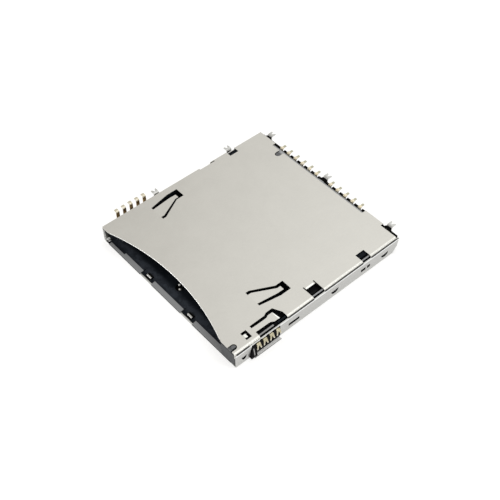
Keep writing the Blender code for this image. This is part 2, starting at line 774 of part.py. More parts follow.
def rear_window_outline():
    """The window over the spring's seat."""
    return rectangle(SLIDER_X + REAR_WINDOW_OFF, WINDOW_RIGHT, *rear_window_span())


def latch_window_outline():
    """A window whose inner corners run on as slits beside a bent tab."""
    low_x, high_x = SLIDER_X + LATCH_WINDOW_OFF, WINDOW_RIGHT
    low_y, high_y = latch_window_span()
    slit_x = low_x - LATCH_SLIT_LENGTH
    return [
        (slit_x, low_y),
        (high_x, low_y),
        (high_x, high_y),
        (slit_x, high_y),
        (slit_x, high_y - LATCH_SLIT_WIDTH),
        (low_x, high_y - LATCH_SLIT_WIDTH),
        (low_x, low_y + LATCH_SLIT_WIDTH),
        (slit_x, low_y + LATCH_SLIT_WIDTH),
    ]


def hold_tab_outline():
    """The tab that holds the cam pin down, root line first and last."""
    low, high = window_span(HOLD_CENTRE_X, HOLD_WIDTH)
    tip_y = HOLD_ROOT_Y + HOLD_LENGTH
    return [(low, HOLD_ROOT_Y), (low, tip_y), (high, tip_y), (high, HOLD_ROOT_Y)]


def hold_tab_opening():
    """The opening round the tab that holds the cam pin."""
    half = HOLD_WIDTH / 2 + HOLD_SLOT
    return rectangle(
        HOLD_CENTRE_X - half,
        HOLD_CENTRE_X + half,
        HOLD_ROOT_Y,
        HOLD_ROOT_Y + HOLD_LENGTH + HOLD_SLOT,
    )


def cover_rear_outline():
    """What is cut from the cover's rear edge, with the rear boss notch."""
    gap_y = REAR_Y - LEAD_GAP_DEPTH
    notch = BOSS_RADIUS + BOSS_CLEARANCE
    notch_end = arc((REAR_BOSS_X, REAR_BOSS_Y), notch, 180.0, 360.0, 8)
    near, far = REAR_Y + PAST / 2, REAR_Y + PAST
    corner_x = SLIDER_LEFT - REAR_NOTCH_OFF
    corner_y = REAR_Y - REAR_NOTCH_DEPTH
    left_y = REAR_Y - REAR_LEFT_SHORT
    shape = [(-HALF_WIDTH - PAST, far), (-HALF_WIDTH - PAST, left_y)]
    shape += [(LEAD_GAP_LEFT, left_y), (LEAD_GAP_LEFT, gap_y), (notch_end[0][0], gap_y)]
    shape += notch_end
    shape += [(notch_end[-1][0], gap_y), (LEAD_GAP_RIGHT, gap_y), (LEAD_GAP_RIGHT, near)]
    shape += [(corner_x, near), (corner_x, corner_y)]
    shape += [(HALF_WIDTH + PAST, corner_y), (HALF_WIDTH + PAST, far)]
    return shape


def build_shell():
    """Folded tray with side walls, lances, clips and solder forks."""
    wall_x = HALF_WIDTH - SHELL_SHEET / 2
    floor_z = SHELL_SHEET / 2
    corners = [(-wall_x, WALL_TOP), (-wall_x, floor_z), (wall_x, floor_z), (wall_x, WALL_TOP)]
    sheet_ends = (SHELL_SHEET, FRONT_Y, SHELL_REAR_Y)
    shell = folded_sheet("bottom_shell", corners, *sheet_ends, SHELL_METAL)
    windows = [panel_outline(panel, FIT) for panel in (rear_panel(), side_panel())]
    cut(shell, "shell_windows", [("Z", shape, -PAST, SHELL_SHEET + LAP) for shape in windows])
    low_x, high_x = HOUSING_HALF, HALF_WIDTH + PAST
    shapes = wall_slots() + [lance_outline(*lance, 0.0) for lance in LANCES]
    shapes.append(block_opening())
    cut(shell, "right_wall_cuts", [("X", shape, low_x, high_x) for shape in shapes])
    shapes = [side_lead_opening(), left_wall_gap()]
    shapes += [lance_outline(*lance, 0.0) for lance in LEFT_LANCES]
    cut(shell, "left_wall_cuts", [("X", shape, -high_x, -low_x) for shape in shapes])
    corners = [("X", rear_corner(), low_x, high_x), ("X", rear_corner(), -high_x, -low_x)]
    cut(shell, "rear_corners", corners)
    sill_x = (HALF_WIDTH - PAST, HALF_WIDTH + SILL_REACH)
    sill = rectangle(*sill_x, BLOCK_FRONT_Y + SILL_SHORT, BLOCK_REAR_Y - SILL_SHORT)
    weld(shell, "block_sill", [("Z", sill, 0.0, SHELL_SHEET)])
    for side, lances in ((1, LANCES), (-1, LEFT_LANCES)):
        for index, lance in enumerate(lances):
            combine(shell, lance_tab(f"lance_{side}_{index}", *lance, side), "UNION")
    forks = [("X", rear_fork_section(), *window_span(x, FORK_WIDTH)) for x in REAR_FORK_XS]
    forks += [("Y", left_fork_section(), *window_span(y, FORK_WIDTH)) for y in LEFT_FORK_YS]
    weld(shell, "solder_forks", forks)
    cut(shell, "fork_notches", fork_notches())
    clips = [window_span(clip_x(centre), CLIP_WIDTH) for centre in NOTCH_CENTRES]
    weld(shell, "front_clips", [("X", clip_section(), *span) for span in clips])
    weld(shell, "earth_tab", [("Y", earth_tab_section(), *earth_tab_span())])
    studs = [circle(place, FLOOR_STUD_RADIUS, ROUND_SIDES // 2) for place in floor_studs()]
    stud_z = (SHELL_SHEET / 2, SHELL_SHEET + FLOOR_STUD_HEIGHT)
    weld(shell, "floor_studs", [("Z", stud, *stud_z) for stud in studs])
    return shell


def floor_hole():
    """The middle of the hole in the housing's floor."""
    return CARD_CENTRE_X + FLOOR_HOLE_OFF, FRONT_Y + FLOOR_HOLE_FROM_FRONT


def floor_studs():
    """The two earthing studs that stand in the hole of the housing's floor."""
    x, y = floor_hole()
    step_x, step_y = FLOOR_STUD_STEP
    return (x - step_x, y + step_y), (x + step_x, y - step_y)


def wall_slots():
    """Through slots of the right wall, seen from the side."""
    top = WALL_SLOT_Z + WALL_SLOT_HEIGHT
    spans = WALL_SLOTS_FROM_FRONT
    return [rectangle(FRONT_Y + low, FRONT_Y + high, WALL_SLOT_Z, top) for low, high in spans]


def block_opening():
    """The right wall's opening round the switch block, seen from the side."""
    return [
        (BLOCK_FRONT_Y - BLOCK_FOOT - FIT, SHELL_SHEET),
        (BLOCK_REAR_Y + FIT, SHELL_SHEET),
        (BLOCK_REAR_Y + FIT, BLOCK_TOP + FIT),
        (BLOCK_FRONT_Y - FIT, BLOCK_TOP + FIT),
    ]


def side_lead_opening():
    """The slot at the foot of the left wall that the side leads leave by."""
    last_y = side_lead_y(SIDE_LEADS - 1)
    margin = SIDE_LEAD_WIDTH / 2 + 2 * FIT
    top = STRIP_Z + CONTACT_SHEET / 2 + 2 * FIT
    return rectangle(SIDE_FIRST_Y - margin, last_y + margin, -PAST, top)


def left_wall_gap():
    """The lowered stretch of the left wall."""
    low, high = LEFT_GAP_FROM_FRONT
    return rectangle(FRONT_Y + low, FRONT_Y + high, WALL_TOP * LEFT_GAP_SHARE, WALL_TOP + PAST)


def rear_corner():
    """What is trimmed off the walls' lower rear corners."""
    lean_y = SHELL_REAR_Y - REAR_CORNER_LEAN
    return [
        (SHELL_REAR_Y - REAR_CORNER_LENGTH, -PAST),
        (SHELL_REAR_Y + PAST, -PAST),
        (SHELL_REAR_Y + PAST, WALL_TOP),
        (SHELL_REAR_Y, WALL_TOP),
        (lean_y, REAR_CORNER_HEIGHT),
        (SHELL_REAR_Y - REAR_CORNER_LENGTH, 0.0),
    ]


def earth_tab_span():
    """Where the small tab in the left front corner stands along the socket."""
    low = FRONT_Y + EARTH_TAB_FROM_FRONT
    return low, low + EARTH_TAB_WIDTH


def earth_tab_section():
    """End view of the corner tab: up from the floor beside the wall, over."""
    base_x = -HALF_WIDTH + SHELL_SHEET + OUTER_BEND
    corners = [
        (base_x, SHELL_SHEET / 2),
        (base_x, EARTH_TAB_HEIGHT),
        (base_x + 2 * SHELL_SHEET, EARTH_TAB_HEIGHT),
    ]
    left, right = sheet_section(rounded_path(corners, SHELL_SHEET), SHELL_SHEET)
    return left + right[::-1]


def rear_panel():
    """The sunk panel under the rear contacts: low x, high x, low y, high y."""
    low_x = CARD_CENTRE_X + CARD_PADS[0] - PANEL_MARGIN
    high_x = CARD_CENTRE_X + CARD_PADS[-1] + PANEL_MARGIN
    return low_x, high_x, BUMP_Y - TIP_LENGTH - PANEL_MARGIN, COMB_Y


def side_panel():
    """The sunk panel under the left contacts."""
    margin = SIDE_LEAD_WIDTH / 2 + LAP
    low_y, high_y = side_lead_y(0) - margin, side_lead_y(SIDE_LEADS - 1) + margin
    return -HOUSING_HALF, SIDE_BUMP_X + TIP_LENGTH + PANEL_MARGIN, low_y, high_y


def panel_outline(panel, grow):
    """A sunk panel's rectangle, grown by a clearance."""
    low_x, high_x, low_y, high_y = panel
    return rectangle(low_x - grow, high_x + grow, low_y - grow, high_y + grow)


def lance_outline(from_front, width, shrink):
    """A half round lance: straight along its top, round below."""
    half = width / 2 - shrink
    drop = LANCE_HEIGHT - shrink
    curve = arc((0.0, 0.0), 1.0, 180.0, 360.0, LANCE_STEPS)
    return [(FRONT_Y + from_front + half * a, LANCE_Z + drop * b) for a, b in curve]


def lance_tab(name, from_front, width, side):
    """The tab of a lance, leaning in from its straight edge."""
    outer = side * HALF_WIDTH
    inner = side * (HALF_WIDTH - SHELL_SHEET)
    outline = lance_outline(from_front, width, FIT)
    tool = prisms(name, [("X", outline, min(outer, inner), max(outer, inner))])
    pivot = Vector((inner, 0.0, LANCE_Z)) * MM
    turn = Matrix.Rotation(math.radians(side * LANCE_LEAN), 4, "Y")
    lift = Matrix.Translation(Vector((0.0, 0.0, SHELL_SHEET / 3)) * MM)
    back = Matrix.Translation(-pivot)
    tool.data.transform(lift @ Matrix.Translation(pivot) @ turn @ back)
    return tool


def rear_fork_section():
    """Side view of a rear solder fork: along the floor, up, and out."""
    foot_z = BODY_HEIGHT - SHELL_SHEET / 2
    corners = [
        (COMB_Y, SHELL_SHEET / 2),
        (REAR_FORK_RISER_Y, SHELL_SHEET / 2),
        (REAR_FORK_RISER_Y, foot_z),
        (REAR_Y + REAR_FORK_REACH, foot_z),
    ]
    left, right = sheet_section(rounded_path(corners, FORK_BEND), SHELL_SHEET)
    return left + right[::-1]


def left_fork_section():
    """End view of a left solder fork: out past the cover, up and out."""
    foot_z = BODY_HEIGHT - SHELL_SHEET / 2
    wall_x = -HALF_WIDTH + SHELL_SHEET / 2
    riser_x = wall_x - LEFT_FORK_STEP
    corners = [
        (wall_x, WALL_TOP - FORK_WIDTH - LEFT_FORK_STEP),
        (wall_x, WALL_TOP - FORK_WIDTH),
        (riser_x, WALL_TOP - FORK_WIDTH + LEFT_FORK_STEP),
        (riser_x, foot_z),
        (-HALF_WIDTH - LEFT_FORK_REACH, foot_z),
    ]
    left, right = sheet_section(rounded_path(corners, FORK_BEND), SHELL_SHEET)
    return left + right[::-1]


def fork_notches():
    """The V cut into the end of each solder fork."""
    low, high = BODY_HEIGHT - PAST, BODY_HEIGHT + PAST
    half = FORK_WIDTH / 2 - SHELL_SHEET
    cuts = []
    for x in REAR_FORK_XS:
        tip = REAR_Y + REAR_FORK_REACH
        shape = [(x, tip - FORK_NOTCH), (x + half, tip + FIT), (x - half, tip + FIT)]
        cuts.append(("Z", shape, low, high))
    for y in LEFT_FORK_YS:
        tip = -HALF_WIDTH - LEFT_FORK_REACH
        shape = [(tip + FORK_NOTCH, y), (tip - FIT, y + half), (tip - FIT, y - half)]
        cuts.append(("Z", shape, low, high))
    return cuts


def clip_x(centre):
    """A front clip stands a little to the right in its notch."""
    return centre + CLIP_WIDTH / 6


def clip_section():
    """Side view of a front clip: up from the floor and back over it."""
    top_z = CLIP_HEIGHT + SHELL_SHEET / 2
    foot_y = FRONT_Y + CLIP_SETBACK
    corners = [
        (foot_y - CLIP_RAMP, SHELL_SHEET / 2),
        (foot_y + CLIP_RAMP, SHELL_SHEET / 2),
        (foot_y + 2 * CLIP_RAMP, top_z),
        (FRONT_Y + NOTCH_DEPTH - FIT, top_z),
    ]
    left, right = sheet_section(rounded_path(corners, SHELL_SHEET), SHELL_SHEET)
    return left + right[::-1]


def housing_outline():
    """Plan of the moulding, with a gap for the switch block."""
    half = HOUSING_HALF
    return [
        (-half, FRONT_Y),
        (half, FRONT_Y),
        (half, BLOCK_FRONT_Y - BLOCK_FOOT - FIT),
        (CHANNEL_RIGHT, BLOCK_FRONT_Y - BLOCK_FOOT - FIT),
        (CHANNEL_RIGHT, BLOCK_REAR_Y + FIT),
        (half, BLOCK_REAR_Y + FIT),
        (half, REAR_Y),
        (LEAD_GAP_RIGHT, REAR_Y),
        (LEAD_GAP_RIGHT, COMB_REAR_Y),
        (-half, COMB_REAR_Y),
    ]


def slot_outline():
    """Plan of the card slot and the ejector's channel beside it."""
    return [
        (SLOT_LEFT, FRONT_Y - PAST),
        (SLIDER_LEFT - FIT, FRONT_Y - PAST),
        (SLIDER_LEFT - FIT, CORNER_BLOCK_REAR_Y),
        (CHANNEL_RIGHT, CORNER_BLOCK_REAR_Y),
        (CHANNEL_RIGHT, REAR_WALL_Y),
        (SLOT_LEFT, REAR_WALL_Y),
    ]


def lead_x(position):
    """Where a rear lead place lies across the socket."""
    return FIRST_LEAD_X + LEAD_PITCH * position


def lead_positions():
    """The rear row's places, without the one that a solder fork takes."""
    return [place_no for place_no in range(LEAD_PLACES) if place_no != FORK_PLACE]


def build_housing():
    """Moulded tray: floor, card slot, lead comb, bosses and spring seat."""
    plan = housing_outline()
    housing = prisms("housing", [("Z", plan, HOUSING_BOTTOM, HOUSING_TOP)], MOULDING)
    top = BODY_HEIGHT + PAST
    panels = (rear_panel(), side_panel())
    panel_bottom = HOUSING_BOTTOM - PANEL_SINK
    sunk = [("Z", panel_outline(panel, 0.0), panel_bottom, FLOOR_TOP) for panel in panels]
    weld(housing, "sunk_panels", sunk)
    cut(housing, "card_slot", [("Z", slot_outline(), FLOOR_TOP, top)])
    cut(housing, "contact_pockets", [pocket_cut(panel, panel_bottom) for panel in panels])
    comb_step = rectangle(-HALF_WIDTH, LEAD_GAP_RIGHT, COMB_Y + 2 * FIT, COMB_REAR_Y + PAST)
    cut(housing, "comb_step", [("Z", comb_step, COMB_TOP, top)])
    cut(housing, "lead_slots", lead_slots())
    cut(housing, "side_lead_slots", side_lead_slots())
    weld(housing, "fork_blocks", fork_blocks())
    cut(housing, "front_ramp", [("X", ramp_section(), SLOT_LEFT, SLIDER_LEFT - FIT)])
    cut(housing, "front_pockets", front_pockets())
    cut(housing, "front_strips", front_strips())
    cut(housing, "front_holes", front_holes())
    ledge_y = (CORNER_BLOCK_REAR_Y, REAR_WALL_Y - LEDGE_SHORT)
    ledge = rectangle(CHANNEL_RIGHT - FIT, HALF_WIDTH, *ledge_y)
    cut(housing, "wall_ledge", [("Z", ledge, LEDGE_TOP, top)])
    rail_y = (BLOCK_REAR_Y + FIT, REAR_WALL_Y - LEDGE_SHORT - WALL_RAIL_GAP)
    weld(housing, "wall_rail", [("Y", wall_rail_section(LEDGE_TOP), *rail_y)])
    boss_top = BODY_HEIGHT - BOSS_SHORT_OF_TOP
    front_boss = circle((FRONT_BOSS_X, FRONT_Y + FRONT_BOSS_FROM_FRONT), BOSS_RADIUS)
    weld(housing, "front_boss", [("Z", front_boss, HOUSING_TOP - LAP, boss_top)])
    closed_y = REAR_BOSS_Y - BOSS_RADIUS
    rear_boss = half_round_notch(REAR_BOSS_X, closed_y, REAR_WALL_Y + LAP, BOSS_RADIUS)
    weld(housing, "rear_boss", [("Z", rear_boss, HOUSING_TOP - 2 * LAP, boss_top)])
    add_spring_seat(housing)
    add_pin_seat(housing)
    return housing


def wall_rail_section(base_z):
    """End view of the round-topped rail along the right wall."""
    radius = WALL_RAIL_WIDTH / 2
    low_x, high_x = RAIL_X - radius, RAIL_X + radius
    crest = arc((RAIL_X, HOUSING_TOP - radius), radius, 0.0, 180.0, 6)
    return [(low_x, base_z - LAP), (high_x, base_z - LAP)] + crest


def pocket_cut(panel, panel_bottom):
    """The pocket over one sunk panel, with a skin left below and around."""
    low_x, high_x, low_y, high_y = panel
    inner_x = max(low_x, SLOT_LEFT - FIT) + PANEL_SKIN
    inner_y = min(high_y, REAR_WALL_Y + FIT) - PANEL_SKIN
    shape = rectangle(inner_x, high_x - PANEL_SKIN, low_y + PANEL_SKIN, inner_y)
    return ("Z", shape, panel_bottom + PANEL_SKIN, FLOOR_TOP + LAP)


def ramp_section():
    """Side view of what is cut from the floor's front edge."""
    return [
        (FRONT_Y - PAST, FLOOR_TOP - RAMP_RISE),
        (FRONT_Y, FLOOR_TOP - RAMP_RISE),
        (FRONT_Y + RAMP_DEPTH, FLOOR_TOP),
        (FRONT_Y + RAMP_DEPTH, FLOOR_TOP + LAP),
        (FRONT_Y - PAST, FLOOR_TOP + LAP),
    ]


def add_spring_seat(housing):
    """The block and peg that hold the spring's fixed end, over the rail."""
    low_y, high_y = SPRING_FIXED_Y, SPRING_FIXED_Y + SPRING_BLOCK_DEPTH
    block = rectangle(SLIDER_LEFT + 2 * FIT, CHANNEL_RIGHT + FIT, low_y, high_y)
    weld(housing, "spring_block", [("Z", block, SPRING_BLOCK_BOTTOM, HOUSING_TOP)])
    peg = circle((SLIDER_X, SPRING_Z), SEAT_PEG_RADIUS, ROUND_SIDES // 2)
    weld(housing, "spring_peg", [("Y", peg, low_y - SEAT_PEG_LENGTH, low_y + LAP)])


def add_pin_seat(housing):
    """The recess and hole in the corner block for the cam pin's pivot end."""
    recess = rectangle(
        SLIDER_X - PIN_SWING_X,
        HOLD_CENTRE_X + HOLD_WIDTH / 2 + FIT,
        PIN_PIVOT_Y - 2 * PIN_RADIUS - FIT,
        CORNER_BLOCK_REAR_Y + LAP,
    )
    cut(housing, "pin_recess", [("Z", recess, SLIDER_TOP, BODY_HEIGHT + PAST)])
    hole = circle((SLIDER_X, PIN_PIVOT_Y), PIN_RADIUS + PIN_RUNNING)
    low = PIN_Z - PIN_LEG - PIN_RADIUS - 2 * FIT
    cut(housing, "pin_hole", [("Z", hole, low, SLIDER_TOP + LAP)])


def lead_slots():
    """Slots under the rear wall and grooves down the comb, for the leads."""
    cuts = []
    riser_front = LEAD_RISER_Y - CONTACT_SHEET / 2 - FIT
    for order, position in enumerate(lead_positions()):
        low_x, high_x = window_span(lead_x(position), LEAD_WIDTH + 2 * FIT)
        base = lead_base_z(order)
        low_z = base - CONTACT_SHEET / 2 - FIT / 2
        high_z = base + CONTACT_SHEET / 2 + FIT
        section = [
            (REAR_WALL_Y - LAP, low_z),
            (COMB_REAR_Y + PAST, low_z),
            (COMB_REAR_Y + PAST, BODY_HEIGHT + PAST),
            (riser_front, BODY_HEIGHT + PAST),
            (riser_front, high_z),
            (REAR_WALL_Y - LAP, high_z),
        ]
        cuts.append(("X", section, low_x, high_x))
    return cuts


def lead_base_z(order):
    """Height of a rear contact in its wall: the last two are card switches."""
    return DETECT_LEAD_Z if order >= len(CARD_PADS) else STRIP_Z


def side_lead_slots():
    """Slots under the left wall for the side leads."""
    low_z = STRIP_Z - CONTACT_SHEET / 2 - FIT / 2
    high_z = STRIP_Z + CONTACT_SHEET / 2 + FIT
    cuts = []
    for index in range(SIDE_LEADS):
        span = window_span(side_lead_y(index), SIDE_LEAD_WIDTH + 2 * FIT)
        section = rectangle(-HALF_WIDTH, SLOT_LEFT + PANEL_SKIN + LAP, low_z, high_z)
        cuts.append(("Y", section, *span))
    return cuts


def side_lead_y(index):
    """Where a left lead lies along the socket."""
    return SIDE_FIRST_Y + SIDE_PITCH * index


def fork_blocks():
    """The block that backs the riser of each rear solder fork."""
    rear = REAR_FORK_RISER_Y - SHELL_SHEET / 2 - FIT
    blocks = []
    for x in REAR_FORK_XS:
        span = window_span(x - FORK_BLOCK_SHIFT, FORK_BLOCK_WIDTH)
        plan = rectangle(*span, SHELL_REAR_Y - LAP, rear)
        blocks.append(("Z", plan, SHELL_SHEET + LAP, HOUSING_TOP - FIT))
    return blocks


def front_pockets():
    """Blind pockets in the front edge: two clip notches and the left corner."""
    notch_y = (FRONT_Y - PAST, FRONT_Y + NOTCH_DEPTH)
    spans = [window_span(centre, NOTCH_WIDTH) for centre in NOTCH_CENTRES]
    low = HOUSING_BOTTOM + FLOOR_SKIN
    pockets = [("Z", rectangle(*span, *notch_y), low, FLOOR_TOP + LAP) for span in spans]
    corner_x = (-HALF_WIDTH, SLOT_LEFT + FIT)
    corner = rectangle(*corner_x, FRONT_Y - PAST, FRONT_Y + CORNER_CUT)
    pockets.append(("Z", corner, low, BODY_HEIGHT + PAST))
    return pockets


def front_strips():
    """The gaps in the front edge where the steel floor shows."""
    strip_y = (FRONT_Y - PAST, FRONT_Y + CLIP_SETBACK - CLIP_RAMP)
    spans = [window_span(centre, NOTCH_WIDTH) for centre in NOTCH_CENTRES]
    return [("Z", rectangle(*span, *strip_y), -PAST, FLOOR_TOP + LAP) for span in spans]


def front_holes():
    """Holes round the clips, the corner tab and the studs of the steel floor."""
    clip_y = (FRONT_Y - PAST, FRONT_Y + NOTCH_DEPTH)
    spans = [window_span(clip_x(centre), CLIP_WIDTH + 2 * FIT) for centre in NOTCH_CENTRES]
    plans = [rectangle(*span, *clip_y) for span in spans]
    low_y, high_y = earth_tab_span()
    tab_right = -HALF_WIDTH + 4 * SHELL_SHEET + OUTER_BEND
    plans.append(rectangle(-HALF_WIDTH, tab_right, low_y - FIT, high_y + FIT))
    plans.append(circle(floor_hole(), FLOOR_HOLE_RADIUS))
    return [("Z", plan, -PAST, FLOOR_TOP + LAP) for plan in plans]


def build_rear_contacts():
    """Rear row: nine card springs and two short card switch springs."""
    foot_z = BODY_HEIGHT - CONTACT_SHEET / 2
    tip_y = BUMP_Y - TIP_LENGTH
    for order, position in enumerate(lead_positions()):
        x = lead_x(position)
        base = lead_base_z(order)
        name = f"rear_contact_{order + 1:02d}"
        tail = [
            (JOG_START_Y, base, x, LEAD_WIDTH),
            (LEAD_RISER_Y, base, x, LEAD_WIDTH),
            (LEAD_RISER_Y, foot_z, x, LEAD_WIDTH),
            (LEAD_RISER_Y + LEAD_SHOULDER, foot_z, x, LEAD_WIDTH),
            (LEAD_RISER_Y + LEAD_SHOULDER + FIT, foot_z, x, LEAD_TIP_WIDTH),
            (REAR_Y + LEAD_REACH, foot_z, x, LEAD_TIP_WIDTH),
        ]
        if order < len(CARD_PADS):
            pad_x = CARD_CENTRE_X + CARD_PADS[order]
            head = [
                (tip_y, FLOOR_TOP, pad_x, TIP_WIDTH),
                (BUMP_Y, FLOOR_TOP + BUMP_HEIGHT, pad_x, TIP_WIDTH),
                (JOG_END_Y, base, pad_x, BEAM_WIDTH),
            ]
        else:
            head = [
                (REAR_WALL_Y - DETECT_REACH, base + DETECT_TIP_RISE, x, FOOT_WIDTH),
                (REAR_WALL_Y - DETECT_REACH / 2, base, x, LEAD_WIDTH),
            ]
        strip(name, head + tail, "Y", GOLD_PLATE)


def build_side_contacts():
    """Left row: springs that rise beside the card's path."""
    foot_z = BODY_HEIGHT - CONTACT_SHEET / 2
    riser_x = -HALF_WIDTH - SIDE_RISER
    for index in range(SIDE_LEADS):
        y = side_lead_y(index)
        corners = [
            (-HALF_WIDTH - SIDE_REACH, foot_z, y, SIDE_LEAD_WIDTH),
            (riser_x, foot_z, y, SIDE_LEAD_WIDTH),
            (riser_x, STRIP_Z, y, SIDE_LEAD_WIDTH),
            (SLOT_LEFT + SIDE_STRAIGHT, STRIP_Z, y, SIDE_LEAD_WIDTH),
            (SIDE_BUMP_X, FLOOR_TOP + SIDE_BUMP_HEIGHT, y, FOOT_WIDTH),
            (SIDE_BUMP_X + TIP_LENGTH, FLOOR_TOP, y, FOOT_WIDTH),
        ]
        strip(f"side_contact_{index + 1}", corners, "X", GOLD_PLATE)


def block_plan():
    """Inner face, outer face and recess face of the switch block."""
    inner = CHANNEL_RIGHT + FIT
    outer = HALF_WIDTH + BLOCK_REACH
    return inner, outer, outer - BLOCK_RECESS


def switch_y(index):
    """Where a switch contact lies along the socket."""
    return SWITCH_FIRST_Y + SWITCH_PITCH * index


def build_switch_block():
    """Black insert in the right wall: sloped front, ribs between its springs."""
    inner, outer, recess = block_plan()
    bottom = SHELL_SHEET + FIT
    end_view = [(inner, bottom), (outer, bottom), (HALF_WIDTH, BLOCK_TOP), (inner, BLOCK_TOP)]
    block_y = (BLOCK_FRONT_Y - BLOCK_FOOT, BLOCK_REAR_Y)
    block = prisms("switch_block", [("Y", end_view, *block_y)], BLOCK_RESIN)
    slope = [
        (BLOCK_FRONT_Y - BLOCK_FOOT - PAST, bottom),
        (BLOCK_FRONT_Y - BLOCK_FOOT, bottom),
        (BLOCK_FRONT_Y, BLOCK_TOP),
        (BLOCK_FRONT_Y, BLOCK_TOP + PAST),
        (BLOCK_FRONT_Y - BLOCK_FOOT - PAST, BLOCK_TOP + PAST),
    ]
    cut(block, "block_slope", [("X", slope, inner - PAST, outer + PAST)])
    pocket_y = (BLOCK_FRONT_Y + BLOCK_FRONT_CHEEK, BLOCK_REAR_Y + PAST)
    pocket = rectangle(*pocket_y, bottom - PAST, BLOCK_TOP + PAST)
    cut(block, "block_pocket", [("X", pocket, recess, outer + PAST)])
    ribs = []
    rib_view = [
        (recess - LAP / 2, BLOCK_TOP),
        (recess - LAP / 2, BLOCK_TOP - RIB_HEIGHT),
        (recess, BLOCK_TOP - RIB_HEIGHT),
        (recess + RIB_REACH, BLOCK_TOP),
    ]
    for index in range(SWITCHES - 1):
        span = window_span(switch_y(index) + SWITCH_PITCH / 2, RIB_WIDTH)
        ribs.append(("Y", rib_view, *span))
    weld(block, "block_ribs", ribs)
    rail_y = (BLOCK_FRONT_Y + BLOCK_FRONT_CHEEK, BLOCK_REAR_Y - FIT)
    weld(block, "block_rail", [("Y", wall_rail_section(BLOCK_TOP), *rail_y)])
    slots = []
    for index in range(SWITCHES):
        span = window_span(switch_y(index), SWITCH_WIDTH + 2 * FIT)
        height = window_span(SWITCH_HEAD_Z, CONTACT_SHEET + 2 * FIT)
        slots.append(("X", rectangle(*span, *height), recess - SWITCH_ROOT - FIT, outer))
    cut(block, "switch_slots", slots)
    return block


def build_switch_contacts():
    """Four gold springs in the block, each a head on two spread legs."""
    recess = block_plan()[2]
    foot_z = SWITCH_HEAD_Z - SWITCH_LEG_LENGTH
    for index in range(SWITCHES):
        y = switch_y(index)
        corners = [
            (recess - SWITCH_ROOT, SWITCH_HEAD_Z, y, SWITCH_WIDTH),
            (HALF_WIDTH + SWITCH_HEAD_REACH, SWITCH_HEAD_Z, y, SWITCH_WIDTH),
            (HALF_WIDTH + SWITCH_LEG_REACH, foot_z, y, SWITCH_LEG_WIDTH),
        ]
        spring = strip(f"switch_contact_{index + 1}", corners, "X", GOLD_PLATE)
        fork = [
            (y, foot_z + SWITCH_FORK_LENGTH),
            (y - SWITCH_FORK_HALF, foot_z - FIT),
            (y + SWITCH_FORK_HALF, foot_z - FIT),
        ]
        cut(spring, f"switch_fork_{index + 1}", [("X", fork, recess, HALF_WIDTH + PAST)])


def cam_points():
    """Where the pin's tip stands on the slider at rest and at full travel."""
    rest = (SLIDER_X, PIN_TIP_Y)
    pressed = (SLIDER_X - PIN_SWING_X, PIN_TIP_Y - EJECT_STROKE)
    mirrored = (SLIDER_X + PIN_SWING_X, PIN_TIP_Y - EJECT_STROKE)
    return rest, pressed, mirrored


def cam_groove_outline():
    """Outer edge of the cam groove: a band round a triangle of three places."""
    rest, pressed, mirrored = cam_points()
    radius = PIN_RADIUS + PIN_RUNNING
    lean = math.degrees(math.atan2(PIN_SWING_X, EJECT_STROKE))
    shape = arc(rest, radius, lean, 180.0 - lean, 8)
    shape += arc(pressed, radius, 180.0 - lean, 270.0, 5)
    shape += arc(mirrored, radius, 270.0, 360.0 + lean, 5)
    return shape


def heart_outline():
    """The heart inside the groove: tail to the rear, cleft to the front."""
    tail_y = PIN_TIP_Y - HEART_TAIL
    front_y = tail_y - HEART_LENGTH
    return [
        (SLIDER_X, tail_y),
        (SLIDER_X - HEART_HALF_WIDTH, front_y + HEART_CLEFT / 3),
        (SLIDER_X - HEART_HALF_WIDTH * 0.8, front_y),
        (SLIDER_X - HEART_HALF_WIDTH / 3, front_y),
        (SLIDER_X, front_y + HEART_CLEFT),
        (SLIDER_X + HEART_HALF_WIDTH / 3, front_y),
        (SLIDER_X + HEART_HALF_WIDTH * 0.8, front_y),
        (SLIDER_X + HEART_HALF_WIDTH, front_y + HEART_CLEFT / 3),
    ]


def build_slider():
    """Ejector slider: cam block, thin rail and the nose the card pushes."""
    side_view = [
        (SLIDER_FRONT_Y, SLIDER_BOTTOM),
        (RAIL_END_Y, SLIDER_BOTTOM),
        (RAIL_END_Y, RAIL_TOP),
        (SLIDER_REAR_Y, RAIL_TOP),
        (SLIDER_REAR_Y, SLIDER_TOP),
        (SLIDER_FRONT_Y, SLIDER_TOP),
    ]
    right = SLIDER_LEFT + SLIDER_WIDTH
    slider = prisms("eject_slider", [("X", side_view, SLIDER_LEFT, right)], SLIDER_RESIN)
    nose_front = RAIL_END_Y - NOSE_LENGTH
    nose = [
        (NOSE_LEFT, RAIL_END_Y - FIT),
        (NOSE_LEFT, nose_front + NOSE_BEVEL),
        (NOSE_LEFT + NOSE_BEVEL, nose_front),
        (SLIDER_LEFT + FIT, nose_front),
        (SLIDER_LEFT + FIT, RAIL_END_Y - FIT),
    ]
    nose_z = (SLIDER_BOTTOM + FIT / 2, FLOOR_TOP + NOSE_HEIGHT)
    weld(slider, "slider_nose", [("Z", nose, *nose_z)])
    peg = circle((SLIDER_X, SPRING_Z), SEAT_PEG_RADIUS, ROUND_SIDES // 2)
    peg_y = (SLIDER_REAR_Y - LAP, SLIDER_REAR_Y + SEAT_PEG_LENGTH)
    weld(slider, "slider_peg", [("Y", peg, *peg_y)])
    floor_z = SLIDER_TOP - CAM_DEPTH
    cut(slider, "cam_groove", [("Z", cam_groove_outline(), floor_z, SLIDER_TOP + LAP)])
    weld(slider, "cam_heart", [("Z", heart_outline(), floor_z - LAP, SLIDER_TOP)])
    return slider


